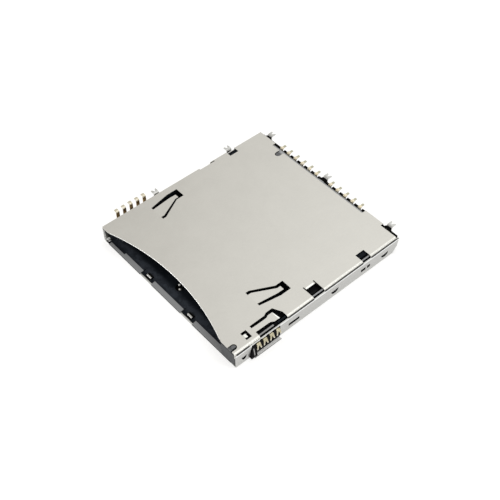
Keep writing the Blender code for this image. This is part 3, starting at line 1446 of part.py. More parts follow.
def round_tube(name, points, radius, sides, finish):
    """A round wire along points, closed at both ends."""
    shape = bmesh.new()
    rings = []
    count = len(points)
    side = Vector((0.0, 0.0, 1.0))
    for index, point in enumerate(points):
        before = points[max(index - 1, 0)]
        after = points[min(index + 1, count - 1)]
        along = (after - before).normalized()
        if abs(side.dot(along)) > 0.99:
            side = Vector((1.0, 0.0, 0.0))
        side = (side - along * side.dot(along)).normalized()
        up = along.cross(side)
        ring = []
        for corner in range(sides):
            angle = 2 * math.pi * corner / sides
            offset = side * math.cos(angle) + up * math.sin(angle)
            ring.append(shape.verts.new((point + offset * radius) * MM))
        rings.append(ring)
    for ring, following in zip(rings, rings[1:]):
        for corner in range(sides):
            far = (corner + 1) % sides
            shape.faces.new((ring[corner], ring[far], following[far], following[corner]))
    shape.faces.new(rings[0])
    shape.faces.new(rings[-1])
    made = add_object(name, mesh_of(name, shape), finish)
    made.data.shade_smooth()
    made.data.set_sharp_from_angle(angle=math.radians(50))
    return made


def build_cam_pin():
    """Staple of round wire: pivot leg, bar and tip leg, origin on its pivot."""
    corners = [
        (PIN_PIVOT_Y, PIN_Z - PIN_LEG),
        (PIN_PIVOT_Y, PIN_Z),
        (PIN_TIP_Y, PIN_Z),
        (PIN_TIP_Y, PIN_Z - PIN_LEG),
    ]
    path = rounded_path(corners, PIN_BEND)
    pivot = Vector((SLIDER_X, PIN_PIVOT_Y, PIN_Z))
    points = [Vector((SLIDER_X, y, z)) - pivot for y, z in path]
    pin = round_tube("cam_pin", points, PIN_RADIUS, 10, SPRING_STEEL)
    pin.location = pivot * MM
    return pin


def build_spring():
    """Helical return spring between the slider and its seat."""
    start = SLIDER_REAR_Y + FIT + SPRING_WIRE_RADIUS
    end = SPRING_FIXED_Y - FIT - SPRING_WIRE_RADIUS
    steps = SPRING_TURNS * SPRING_STEPS
    points = []
    for step in range(steps + 1):
        angle = 2 * math.pi * SPRING_TURNS * step / steps
        points.append(
            Vector(
                (
                    SLIDER_X + SPRING_MEAN_RADIUS * math.cos(angle),
                    start + (end - start) * step / steps,
                    SPRING_Z + SPRING_MEAN_RADIUS * math.sin(angle),
                )
            )
        )
    return round_tube("eject_spring", points, SPRING_WIRE_RADIUS, SPRING_SIDES, SPRING_STEEL)


def main():
    """Build the whole socket."""
    clear_scene()
    build_cover()
    build_shell()
    build_housing()
    build_rear_contacts()
    build_side_contacts()
    build_switch_block()
    build_switch_contacts()
    build_slider()
    build_cam_pin()
    build_spring()


main()
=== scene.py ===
"""Looks of the memory card socket: materials, small formed details, light and camera.

Places and sizes are in millimetres until they are handed to Blender: x runs to the right
across the card mouth, y from the mouth to the rear leads, z from the tray to the cover.
"""

import math

import bpy
import numpy as np
from mathutils import Matrix, Vector


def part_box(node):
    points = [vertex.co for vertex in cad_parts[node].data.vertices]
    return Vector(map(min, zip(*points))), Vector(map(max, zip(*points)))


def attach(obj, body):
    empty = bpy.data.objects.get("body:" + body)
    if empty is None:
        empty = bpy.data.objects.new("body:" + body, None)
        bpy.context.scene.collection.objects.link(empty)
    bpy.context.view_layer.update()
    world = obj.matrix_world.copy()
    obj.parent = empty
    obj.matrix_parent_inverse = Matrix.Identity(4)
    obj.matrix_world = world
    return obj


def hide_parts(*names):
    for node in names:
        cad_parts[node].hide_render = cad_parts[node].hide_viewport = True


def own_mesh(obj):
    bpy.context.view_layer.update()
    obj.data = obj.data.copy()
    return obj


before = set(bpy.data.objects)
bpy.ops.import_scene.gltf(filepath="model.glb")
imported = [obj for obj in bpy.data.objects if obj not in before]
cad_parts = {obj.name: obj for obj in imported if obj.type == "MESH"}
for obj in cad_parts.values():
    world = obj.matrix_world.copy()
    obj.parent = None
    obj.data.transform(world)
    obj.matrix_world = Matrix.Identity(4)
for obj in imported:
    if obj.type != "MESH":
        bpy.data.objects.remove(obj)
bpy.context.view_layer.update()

MM = 0.001
EDGE = 0.02  # how wide the soft edge of a painted area is
TILT = 0.2  # how wide the soft edge between faces that point different ways is

# The body's main faces and features
FRONT = -14.5
PLATE_TOP = 2.75
WALL_TOP = 2.45
FLOOR_HOLE = (-0.3, -12.05)


class Wire:
    """One output socket of a shader node, with the arithmetic written as operators."""

    def __init__(self, graph, socket):
        self.graph = graph
        self.socket = socket

    def _with(self, operation, other, swapped=False):
        values = (other, self) if swapped else (self, other)
        return self.graph.node("ShaderNodeMath", {"operation": operation}, *values)

    def __add__(self, other):
        return self._with("ADD", other)

    def __radd__(self, other):
        return self._with("ADD", other, True)

    def __sub__(self, other):
        return self._with("SUBTRACT", other)

    def __rsub__(self, other):
        return self._with("SUBTRACT", other, True)

    def __mul__(self, other):
        return self._with("MULTIPLY", other)

    def __rmul__(self, other):
        return self._with("MULTIPLY", other, True)

    def __abs__(self):
        return self.graph.node("ShaderNodeMath", {"operation": "ABSOLUTE"}, self)

    def above(self, level, soft=EDGE):
        """0 below a level and 1 above it, with a soft step of a given width between."""
        settings = {"interpolation_type": "SMOOTHSTEP"}
        low, high = level - soft / 2, level + soft / 2
        inputs = {"Value": self, "From Min": low, "From Max": high}
        return self.graph.node("ShaderNodeMapRange", settings, **inputs)

    def below(self, level, soft=EDGE):
        """1 below a level and 0 above it."""
        return 1.0 - self.above(level, soft)

    def between(self, low, high, soft=EDGE):
        """1 between two levels and 0 outside them."""
        return self.above(low, soft) * self.below(high, soft)

    def within(self, *spans):
        """1 inside any of several spans that don't overlap."""
        masks = [self.between(*span) for span in spans]
        return sum(masks[1:], masks[0])

    def part(self, name):
        """Another output of the node that this wire comes from."""
        return Wire(self.graph, self.socket.node.outputs[name])


class Graph:
    """The node tree of one material or world, emptied of its default nodes."""

    def __init__(self, tree):
        self.tree = tree
        tree.nodes.clear()

    def node(self, kind, settings=None, *values, **named):
        """A node of a type: its settings first, then its inputs in order or by name."""
        made = self.tree.nodes.new(kind)
        for key, value in (settings or {}).items():
            setattr(made, key, value)
        for index, value in enumerate(values):
            self.feed(made.inputs[index], value)
        for key, value in named.items():
            self.feed(made.inputs[key], value)
        shown = [socket for socket in made.outputs if socket.enabled]
        return Wire(self, shown[0]) if shown else made

    def feed(self, socket, value):
        """Joins a wire to a socket, or sets the socket's own value."""
        if isinstance(value, Wire):
            self.tree.links.new(value.socket, socket)
        elif socket.type == "RGBA" and len(value) == 3:
            socket.default_value = (*value, 1.0)
        else:
            socket.default_value = value

    def place(self):
        """Object coordinates in millimetres, as a vector."""
        coords = self.node("ShaderNodeTexCoord").part("Object")
        settings = {"operation": "SCALE"}
        return self.node("ShaderNodeVectorMath", settings, Vector=coords, Scale=1.0 / MM)

    def axes(self, vector):
        """The three parts of a vector."""
        split = self.node("ShaderNodeSeparateXYZ", None, vector)
        return split, split.part("Y"), split.part("Z")

    def facing(self):
        """How far the flat face under the texture points along each axis."""
        true = self.node("ShaderNodeNewGeometry").part("True Normal")
        return tuple(abs(share) for share in self.axes(true))

    def stretched(self, where, scale):
        """A vector scaled by another amount along each axis."""
        return self.node("ShaderNodeVectorMath", {"operation": "MULTIPLY"}, where, scale)

    def noise(self, where, scale, detail=3.0, roughness=0.5):
        """A noise value about 0.5."""
        shape = {"Scale": scale, "Detail": detail, "Roughness": roughness}
        return self.node("ShaderNodeTexNoise", None, Vector=where, **shape)

    def mix(self, factor, first, second):
        """A colour between two others."""
        made = self.tree.nodes.new("ShaderNodeMix")
        made.data_type = "RGBA"
        for name, value in (("Factor", factor), ("A", first), ("B", second)):
            wanted = "VALUE" if name == "Factor" else "RGBA"
            socket = next(s for s in made.inputs if s.name == name and s.type == wanted)
            self.feed(socket, value)
        return Wire(self, next(s for s in made.outputs if s.type == "RGBA"))

    def bump(self, height, strength, depth):
        """A normal from a height between 0 and 1 that stands for a depth."""
        inputs = {"Height": height, "Strength": strength, "Distance": depth * MM}
        return self.node("ShaderNodeBump", None, **inputs)


def surface(name, build, **fixed):
    """A material whose build function returns what varies over the surface."""
    made = bpy.data.materials.new(name)
    made.use_nodes = True
    graph = Graph(made.node_tree)
    shader = graph.node("ShaderNodeBsdfPrincipled")
    sockets = shader.socket.node.inputs
    for key, value in fixed.items():
        graph.feed(sockets[key.replace("_", " ")], value)
    for key, value in build(graph).items():
        graph.feed(sockets[key], value)
    graph.node("ShaderNodeOutputMaterial", None, Surface=shader)
    return made


GRAIN_ACROSS, GRAIN_ALONG = 60.0, 1.2  # bands per millimetre across and along the rolling
CLOUD_SCALE, SPECK_SCALE = 0.3, 9.0
ALONG_X, ALONG_Y = 0, 1


def sheet_look(graph, grain_axis, colour, dull, rough):
    """Rolled stainless: long fine grain one way, faint clouding, small dull specks."""
    where = graph.place()
    bands = [GRAIN_ACROSS, GRAIN_ACROSS, GRAIN_ACROSS]
    bands[grain_axis] = GRAIN_ALONG
    grain = graph.noise(graph.stretched(where, bands), 1.0, detail=2.0)
    cloud = graph.noise(where, CLOUD_SCALE, detail=4.0, roughness=0.6)
    speck = graph.noise(where, SPECK_SCALE, detail=5.0, roughness=0.6)
    tone = grain * 0.45 + cloud * 0.35 + speck * 0.2
    return {
        "Base Color": graph.mix(tone.above(0.5, soft=0.34), dull, colour),
        "Roughness": rough + (grain - 0.5) * 0.1 + (cloud - 0.5) * 0.1,
        "Normal": graph.bump(grain * 0.6 + speck * 0.4, strength=0.1, depth=0.02),
    }


COVER_SHEET, COVER_DULL = (0.642, 0.629, 0.593), (0.579, 0.565, 0.531)
# painted highlight: near white on the cover's bends, latch tab, pin tab and press tongue's
# end
COVER_HIGHLIGHT = (0.96, 0.97, 0.93)
# painted shade: near black on the cut faces inside the cover's openings
COVER_CUT_SHADE = (0.03, 0.03, 0.03)
MOUTH_BACK, MOUTH_RIGHT = -12.3, 11.4
OPENINGS_X = (-13.9, 13.55)
FOLD_START = 13.66
LATCH_X, LATCH_Y = (12.08, 12.36), (-1.05, 0.25)
PIN_TAB_X, PIN_TAB_Y, PIN_TAB_BOTTOM = (12.36, 12.94), (-11.85, -11.4), 2.5
PRESS_END_X, PRESS_END_Y, PRESS_END_TOP = (12.2, 13.4), (-6.82, -6.5), 2.7


def cover_look(graph):
    """The cover's sheet: painted shade on the cut faces in its openings, and painted
    highlights on its bends, latch tab, pin tab and press tongue's end.
    """
    x, y, z = graph.axes(graph.place())
    upright = graph.facing()[2].below(0.5, soft=TILT)
    mouth = y.below(MOUTH_BACK) * x.below(MOUTH_RIGHT)
    front = y.below(FRONT + 0.05)
    # painted shade on the upright cut faces of the openings, outside the mouth and the
    # front
    cut_edge_shade = upright * x.between(*OPENINGS_X) * (1.0 - mouth) * (1.0 - front)
    fold = x.above(FOLD_START, soft=0.1) * z.above(WALL_TOP)
    latch = x.between(*LATCH_X) * y.between(*LATCH_Y)
    pin_tab = x.between(*PIN_TAB_X) * y.between(*PIN_TAB_Y) * z.above(PIN_TAB_BOTTOM)
    press_end = x.between(*PRESS_END_X) * y.between(*PRESS_END_Y) * z.below(PRESS_END_TOP)
    # painted highlight on the fold, the latch tab, the pin tab and the press tongue's end
    bright = (fold * 0.6 + latch + pin_tab + press_end) * (1.0 - upright * (1.0 - fold))
    look = sheet_look(graph, ALONG_Y, COVER_SHEET, COVER_DULL, rough=0.34)
    shade = graph.mix(bright, look["Base Color"], COVER_HIGHLIGHT)
    look["Base Color"] = graph.mix(cut_edge_shade, shade, COVER_CUT_SHADE)
    look["Roughness"] = look["Roughness"] + cut_edge_shade * 0.4
    return look


NOTCHES_X = ((-5.85, -3.35), (2.85, 5.35))


def in_notches(x):
    """1 across the two front notches."""
    return x.within(*NOTCHES_X)


SHELL_SHEET, SHELL_DULL = (0.575, 0.575, 0.56), (0.535, 0.535, 0.52)
# painted shade: the outer wall faces are painted darker than the rest of the sheet
SHELL_WALL_SHADE = (0.50, 0.50, 0.485)
# painted highlight: white, not a mirror, on the wall's top line, lances, front corner tab
# and sill
SHELL_HIGHLIGHT = (0.92, 0.93, 0.93)
# painted shade: near black on cut wall edges, round the slots, on the front rim, in the
# clip pockets and round the floor hole
SHELL_SHADE = (0.01, 0.01, 0.01)
# painted shade on the sill's outer face
SILL_FACE_SHADE = (0.3, 0.3, 0.3)
WALL_OUTSIDE, WALL_X = 14.07, (13.93, 14.12)
WALL_WINDOWS_Y = ((7.6, 9.1), (-1.33, 0.6), (-12.2, -5.8))
WALL_FRONT, WALL_FOOT, WALL_LINE, WALL_EDGE = -14.3, 0.3, 2.26, 2.4
LOW_SLOT_Y, LOW_SLOT_Z = (-5.8, -3.95), (0.9, 1.36)
HIGH_SLOTS_Y, HIGH_SLOTS_Z = ((7.2, 8.05), (8.3, 8.9)), (1.0, 1.5)
RIM_X, RIM_FRONT, RIM_TOP = (-13.0, 13.0), -14.4, 0.22
CLIP_POCKET_Y, CLIP_Y = (-14.32, -13.4), (-14.06, -13.86)
HOLE_AREA, HOLE_TOP = 0.5, 0.4  # the painted shade round the hole: radius squared, and height
SILL_X, SILL_Y, SILL_TOP, SILL_END = 14.11, (-12.0, -7.0), 0.17, 14.48
LANCE_SLOPE, LANCE_Z = (0.9, 0.97), (0.4, 1.6)
CORNER_X, CORNER_BACK, CORNER_TOP = (-14.0, -13.2), -13.95, 2.3
CORNER_GAP_X, CORNER_GAP_Y = -13.9, -14.27


def shell_look(graph):
    """The tray's sheet: satin walls, with painted shade on the outer walls, cut edges,
    slots, pockets, front rim and floor hole.

    Painted highlights on the lances, front corner, the wall's top line and the sill are
    white and not a mirror; the sill's outer face has painted shade.
    """
    x, y, z = graph.axes(graph.place())
    along_x = graph.facing()[0]
    edge = along_x.below(0.5, soft=TILT)
    outside = x.above(WALL_OUTSIDE) * (1.0 - edge)
    wall = abs(x).between(*WALL_X) * z.above(WALL_FOOT) * y.above(WALL_FRONT)
    windows = y.within(*WALL_WINDOWS_Y)
    top_edge = z.above(WALL_EDGE)
    cut_edge_shade = edge * wall * (1.0 - windows * top_edge) * (1.0 - top_edge * 0.22)
    low_slot = y.between(*LOW_SLOT_Y) * z.between(*LOW_SLOT_Z)
    high_slots = y.within(*HIGH_SLOTS_Y) * z.between(*HIGH_SLOTS_Z)
    rim = y.below(RIM_FRONT) * z.below(RIM_TOP) * x.between(*RIM_X)
    pockets = in_notches(x) * y.between(*CLIP_POCKET_Y) * (1.0 - y.between(*CLIP_Y))
    hole_x, hole_y = x - FLOOR_HOLE[0], y - FLOOR_HOLE[1]
    hole = (hole_x * hole_x + hole_y * hole_y).below(HOLE_AREA) * z.below(HOLE_TOP)
    # painted shade: cut edges, outer face round the slots, front rim outside the notches,
    # clip pockets and floor hole
    dark = cut_edge_shade + outside * (low_slot + high_slots) + rim * (1.0 - in_notches(x))
    dark = dark + pockets + hole
    # painted light: the sill's top is painted pale and not a mirror
    sill = x.above(SILL_X) * z.below(SILL_TOP) * y.between(*SILL_Y)
    lance = along_x.between(*LANCE_SLOPE, soft=0.01) * z.between(*LANCE_Z)
    corner = x.between(*CORNER_X) * y.below(CORNER_BACK) * z.below(CORNER_TOP)
    corner = corner * (1.0 - x.below(CORNER_GAP_X) * y.above(CORNER_GAP_Y, soft=0.04))
    # painted highlight on the lance tabs and the front corner tab
    lance_corner_highlight = (lance + corner) * (1.0 - dark)
    # painted highlight along the outer wall's top edge
    top_line = outside * z.above(WALL_LINE, soft=0.04)
    look = sheet_look(graph, ALONG_Y, SHELL_SHEET, SHELL_DULL, rough=0.32)
    # painted shade on the outer wall faces
    shade = graph.mix(outside * 0.9, look["Base Color"], SHELL_WALL_SHADE)
    shade = graph.mix(top_line + lance_corner_highlight + sill, shade, SHELL_HIGHLIGHT)
    shade = graph.mix(sill * x.above(SILL_END), shade, SILL_FACE_SHADE)
    look["Base Color"] = graph.mix(dark, shade, SHELL_SHADE)
    look["Roughness"] = look["Roughness"] + dark * 0.4
    look["Metallic"] = 1.0 - lance_corner_highlight - sill
    return look


SPARK_SCALE = 14.0
FLOW_STRETCH = (0.9, 0.25, 0.9)


def resin_look(graph, colour, dull, rough):
    """Moulded resin: fine spark texture, faint flow marks."""
    where = graph.place()
    spark = graph.noise(where, SPARK_SCALE, detail=4.0, roughness=0.6)
    flow = graph.noise(graph.stretched(where, FLOW_STRETCH), 1.0, detail=3.0)
    tone = spark * 0.5 + flow * 0.5
    return {
        "Base Color": graph.mix(tone.above(0.5, soft=0.4), dull, colour),
        "Roughness": rough + (flow - 0.5) * 0.15,
        "Normal": graph.bump(spark, strength=0.25, depth=0.02),
    }


HOUSING_RESIN, HOUSING_DULL = (0.013, 0.016, 0.021), (0.006, 0.008, 0.011)
# painted sheen on the mouth's floor near the lip
HOUSING_SHEEN = (0.042, 0.049, 0.062)
# painted light: grey on the lit front lip, bosses, comb band and wall rail of the dark
# resin
HOUSING_LIT = (0.98, 1.0, 1.03)
# painted shade: near black on the comb between the rear leads
HOUSING_COMB_SHADE = (0.003, 0.003, 0.003)
LIP_BACK, LIP_STEP, LIP_STEP_X = -13.84, 0.27, -9.9
LIP_LEFT, LIP_Z = -12.9, (0.15, 2.3)
FRONT_BOSS_X, FRONT_BOSS_BACK, FRONT_BOSS_Z = (11.9, 13.1), -13.3, 2.4
REAR_BOSS_FRONT, REAR_BOSS_Z = 12.0, 2.57
BAND_Y, BAND_RIGHT, BAND_Z = (13.5, 14.22), 7.7, 2.25
RAIL_LEFT, RAIL_Z, HOUSING_RAIL_Y = 13.46, 2.47, (-1.5, 9.3)
COMB_FRONT = 13.95
SHEEN_Y, SHEEN_TOP, PATCH_SCALE = (-13.7, -12.7), 1.2, 1.4


def housing_look(graph):
    """Dark resin with painted light: grey on its lit front lip, bosses, comb band and wall
    rail.
    """
    x, y, z = graph.axes(graph.place())
    upright = graph.facing()[1].above(0.5, soft=TILT)
    lip_back = x.below(LIP_STEP_X) * -LIP_STEP + LIP_BACK
    lip = (y - lip_back).below(0.0, soft=0.04) * z.between(*LIP_Z) * x.above(LIP_LEFT)
    # painted shade: the lip's upright faces get less of the painted grey
    lip = lip * (1.0 - in_notches(x)) * (1.0 - upright * 0.65)
    front_boss = y.below(FRONT_BOSS_BACK, soft=0.04) * x.between(*FRONT_BOSS_X, soft=0.04)
    front_boss = front_boss * z.above(FRONT_BOSS_Z)
    rear_boss = z.above(REAR_BOSS_Z) * y.above(REAR_BOSS_FRONT, soft=0.1)
    band = y.between(*BAND_Y, soft=0.04) * z.above(BAND_Z) * x.below(BAND_RIGHT)
    rail = x.above(RAIL_LEFT, soft=0.06) * z.above(RAIL_Z) * y.between(*HOUSING_RAIL_Y)
    # painted light on the lit lip, bosses, comb band and rail
    painted_light = lip * 0.29 + front_boss * 0.15 + rear_boss * 0.13 + band * 0.4 + rail * 0.32
    # painted shade over the comb, outside the band
    comb = y.above(COMB_FRONT) * (1.0 - band)
    patches = graph.noise(graph.place(), PATCH_SCALE, detail=4.0, roughness=0.6)
    # painted sheen near the lip, in mottled patches
    sheen = y.between(*SHEEN_Y, soft=0.8) * z.below(SHEEN_TOP, soft=0.1)
    sheen = sheen * (0.45 + patches.above(0.5, soft=0.3) * 0.8)
    look = resin_look(graph, HOUSING_RESIN, HOUSING_DULL, rough=0.42)
    shade = graph.mix(sheen, look["Base Color"], HOUSING_SHEEN)
    shade = graph.mix(painted_light, shade, HOUSING_LIT)
    look["Base Color"] = graph.mix(comb, shade, HOUSING_COMB_SHADE)
    look["Roughness"] = look["Roughness"] + comb * 0.3
    return look


BLOCK_RESIN, BLOCK_DULL = (0.006, 0.006, 0.007), (0.003, 0.003, 0.004)
# painted highlight on the block's rail and front cheek
BLOCK_LIT = (1.0, 1.0, 1.0)
BLOCK_RAIL_X, BLOCK_RAIL_BACK = (13.46, 13.68), -7.9
CHEEK_X, CHEEK_Y, CHEEK_Z = 14.12, (-11.8, -11.66), (0.5, 1.7)


def block_look(graph):
    """Black resin with a painted highlight on its rail and front cheek."""
    x, y, z = graph.axes(graph.place())
    rail = x.between(*BLOCK_RAIL_X) * z.above(RAIL_Z) * y.below(BLOCK_RAIL_BACK)
    cheek = x.above(CHEEK_X) * z.between(*CHEEK_Z, soft=0.2)
    cheek = cheek * y.between(*CHEEK_Y, soft=0.06)
    look = resin_look(graph, BLOCK_RESIN, BLOCK_DULL, rough=0.55)
    painted_light = rail * 0.32 + cheek * 0.4
    look["Base Color"] = graph.mix(painted_light, look["Base Color"], BLOCK_LIT)
    return look


SLIDER_RESIN, SLIDER_DULL = (0.012, 0.012, 0.014), (0.006, 0.006, 0.007)


def slider_look(graph):
    """Smooth black resin of the ejector."""
    return resin_look(graph, SLIDER_RESIN, SLIDER_DULL, rough=0.35)


WEAR_SCALE = 2.2
DRAWN_STRETCH = (30.0, 3.0, 30.0)


def plate_look(graph, colour, pale, rough):
    """Plated or drawn metal with paler patches of wear and fine drawing marks."""
    where = graph.place()
    wear = graph.noise(where, WEAR_SCALE, detail=4.0, roughness=0.6)
    fine = graph.noise(graph.stretched(where, DRAWN_STRETCH), 1.0, detail=2.0)
    return {
        "Base Color": graph.mix(wear.above(0.52, soft=0.22), colour, pale),
        "Roughness": rough + (fine - 0.5) * 0.15,
        "Normal": graph.bump(fine, strength=0.1, depth=0.01),
    }


REAR_GOLD, REAR_PALE = (0.75, 0.66, 0.47), (0.80, 0.75, 0.63)
REAR_TIP, REAR_TIP_Y = (0.45, 0.43, 0.33), 14.72


def rear_lead_look(graph):
    """Gold plate, cream on the lead's root and olive towards its cut tip."""
    y = graph.axes(graph.place())[1]
    look = plate_look(graph, REAR_GOLD, REAR_PALE, rough=0.3)
    tip = y.above(REAR_TIP_Y, soft=0.1)
    look["Base Color"] = graph.mix(tip, look["Base Color"], REAR_TIP)
    return look


SIDE_GOLD, SIDE_PALE = (0.62, 0.57, 0.45), (0.71, 0.67, 0.57)
# painted shade on the risers: dark brown, streaked with a painted gold reflection
RISER_SHADE, RISER_GLINT = (0.10, 0.055, 0.02), (0.34, 0.23, 0.10)
RISER_X, RISER_TOP = -14.0, 2.5
RISER_STRETCH = (3.0, 5.0, 2.0)


def side_lead_look(graph):
    """Gold plate with painted shade on the risers outside the wall, dark brown streaked
    with a painted gold reflection, and pale on the feet.
    """
    where = graph.place()
    x, y, z = graph.axes(where)
    look = plate_look(graph, SIDE_GOLD, SIDE_PALE, rough=0.34)
    # painted shade on the risers outside the wall
    riser = x.below(RISER_X, soft=0.05) * z.below(RISER_TOP, soft=0.1)
    streak = graph.noise(graph.stretched(where, RISER_STRETCH), 1.0, detail=2.0)
    painted_riser_shade = graph.mix(streak.above(0.5, soft=0.2), RISER_SHADE, RISER_GLINT)
    look["Base Color"] = graph.mix(riser, look["Base Color"], painted_riser_shade)
    return look


SWITCH_OLIVE, SWITCH_PALE = (0.46, 0.42, 0.28), (0.60, 0.56, 0.42)
SWITCH_LEGS, SWITCH_LEGS_TOP = (0.80, 0.78, 0.70), 1.35


def switch_lead_look(graph):
    """Gold plate, olive cream on the spring's head and paler on its legs."""
    z = graph.axes(graph.place())[2]
    look = plate_look(graph, SWITCH_OLIVE, SWITCH_PALE, rough=0.32)
    legs = z.below(SWITCH_LEGS_TOP, soft=0.5)
    look["Base Color"] = graph.mix(legs, look["Base Color"], SWITCH_LEGS)
    return look


WIRE_STEEL, WIRE_PALE = (0.6, 0.6, 0.6), (0.7, 0.7, 0.7)
# painted highlight: the bead's near white base colour
BEAD_HIGHLIGHT, BEAD_DULL = (0.97, 0.97, 0.95), (0.93, 0.93, 0.91)
# painted glint: white, not a mirror, on the stud heads
STUD_GLINT, STUD_DULL = (0.92, 0.92, 0.90), (0.86, 0.86, 0.84)


def wire_look(graph):
    """Bright drawn spring wire."""
    return plate_look(graph, WIRE_STEEL, WIRE_PALE, rough=0.22)


def bead_look(graph):
    """The mouth's rolled bead: the cover's sheet, near white as a painted highlight."""
    return sheet_look(graph, ALONG_X, BEAD_HIGHLIGHT, BEAD_DULL, rough=0.34)


def stud_look(graph):
    """White stud heads, not a mirror, as a painted glint."""
    return sheet_look(graph, ALONG_X, STUD_GLINT, STUD_DULL, rough=0.45)


COVER = surface("stainless_cover", cover_look, Metallic=1.0)
SHELL = surface("stainless_shell", shell_look)
HOUSING = surface("housing_resin", housing_look, Specular_IOR_Level=0.04)
BLOCK = surface("block_resin", block_look, Specular_IOR_Level=0.04)
SLIDER = surface("slider_resin", slider_look, Specular_IOR_Level=0.06)
REAR_LEAD = surface("gold_plate_rear", rear_lead_look, Metallic=1.0)
SIDE_LEAD = surface("gold_plate_side", side_lead_look, Metallic=1.0)
SWITCH_LEAD = surface("gold_plate_switch", switch_lead_look, Metallic=1.0)
STEEL = surface("spring_steel", wire_look, Metallic=1.0)
RIM = surface("stainless_rim", bead_look, Metallic=1.0)
STUD = surface("painted_glint_stud", stud_look)

FINISHES = {
    "top_cover": COVER,
    "bottom_shell": SHELL,
    "housing": HOUSING,
    "switch_block": BLOCK,
    "eject_slider": SLIDER,
    "cam_pin": STEEL,
    "eject_spring": STEEL,
}
CONTACT_FINISHES = {"rear": REAR_LEAD, "side": SIDE_LEAD, "switch": SWITCH_LEAD}


def dress_nodes():
    """Every CAD node gets its material on each of its slots."""
    for name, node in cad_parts.items():
        finish = FINISHES.get(name) or CONTACT_FINISHES[name.split("_")[0]]
        if not node.material_slots:
            node.data.materials.append(finish)
        for slot in node.material_slots:
            slot.material = finish


def swept_faces(rings, sides):
    """Quads between rings of points in a row, and the two flat ends that close them."""
    ring, side = np.meshgrid(np.arange(rings - 1), np.arange(sides), indexing="ij")
    after = (side + 1) % sides
    low, high = ring * sides, (ring + 1) * sides
    quads = np.stack([low + side, low + after, high + after, high + side], axis=-1)
    first = np.arange(sides)
    ends = [first[::-1].tolist(), (first + (rings - 1) * sides).tolist()]
    return quads.reshape(-1, 4).tolist() + ends


def round_the_clock(sides):
    """The angles of a section's corners."""
    return np.linspace(0.0, 2.0 * np.pi, sides, endpoint=False)


def add_piece(name, points, faces, finish):
    """A smooth closed mesh in millimetres that rides with the frame."""
    mesh = bpy.data.meshes.new(name)
    mesh.from_pydata((points.reshape(-1, 3) * MM).tolist(), [], faces)
    mesh.validate()
    mesh.shade_smooth()
    mesh.set_sharp_from_angle(angle=math.radians(50.0))
    mesh.materials.append(finish)
    made = bpy.data.objects.new(name, mesh)
    bpy.context.scene.collection.objects.link(made)
    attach(made, "frame")
    return made


MOUTH_HALF_WIDTH, MOUTH_RISE, MOUTH_MIDDLE = 12.0, 2.1, -0.75
BEAD = 0.065  # radius of the rolled edge


def rolled_rim():
    """The bright rolled rim of the card mouth.

    The path is the mouth's circle arc, worked out from its half width and rise and ended
    where the bead would pass the front. The section is a round bead of radius r, and each
    point lies at (centre + R (sin a, cos a)) moved r cos b outwards and r sin b up.
    """
    rings, sides = 160, 12
    radius = (MOUTH_HALF_WIDTH**2 + MOUTH_RISE**2) / (2.0 * MOUTH_RISE)
    spread = math.acos((radius - MOUTH_RISE + BEAD) / (radius - BEAD))
    turn = np.linspace(-spread, spread, rings)[:, None]
    tilt = round_the_clock(sides)[None, :]
    reach = radius + BEAD * np.cos(tilt)
    x = MOUTH_MIDDLE + reach * np.sin(turn)
    y = FRONT + MOUTH_RISE - radius + reach * np.cos(turn)
    z = PLATE_TOP - BEAD + BEAD * np.sin(tilt) + 0.0 * turn
    points = np.stack([x, y, z], axis=-1)
    add_piece("mouth_rim", points, swept_faces(rings, sides), RIM)


STUD_TOP, STUD_RADIUS, STUD_DOME = 0.45, 0.16, 0.13
STUD_OFFSET = (0.32, -0.21)


def stud_caps():
    """The bright domed heads of the two studs on the tray's floor.

    Each head is half an ellipsoid: at the angle a from its top its ring has the radius
    R sin a and lies h cos a above the stud's top. A flat face closes it below.
    """
    rings, sides, smallest = 12, 24, 0.06
    tilt = np.linspace(np.pi / 2.0, smallest, rings)[:, None]
    turn = round_the_clock(sides)[None, :]
    for name, side in (("stud_head_1", -1.0), ("stud_head_2", 1.0)):
        middle = [at + side * off for at, off in zip(FLOOR_HOLE, STUD_OFFSET)]
        x = middle[0] + STUD_RADIUS * np.sin(tilt) * np.cos(turn)
        y = middle[1] + STUD_RADIUS * np.sin(tilt) * np.sin(turn)
        z = STUD_TOP + STUD_DOME * np.cos(tilt) + 0.0 * turn
        points = np.stack([x, y, z], axis=-1)
        add_piece(name, points, swept_faces(rings, sides), STUD)


SPRING_WIRE, SPRING_TURNS = 0.09, 9.0  # the wire's radius, and the number of turns


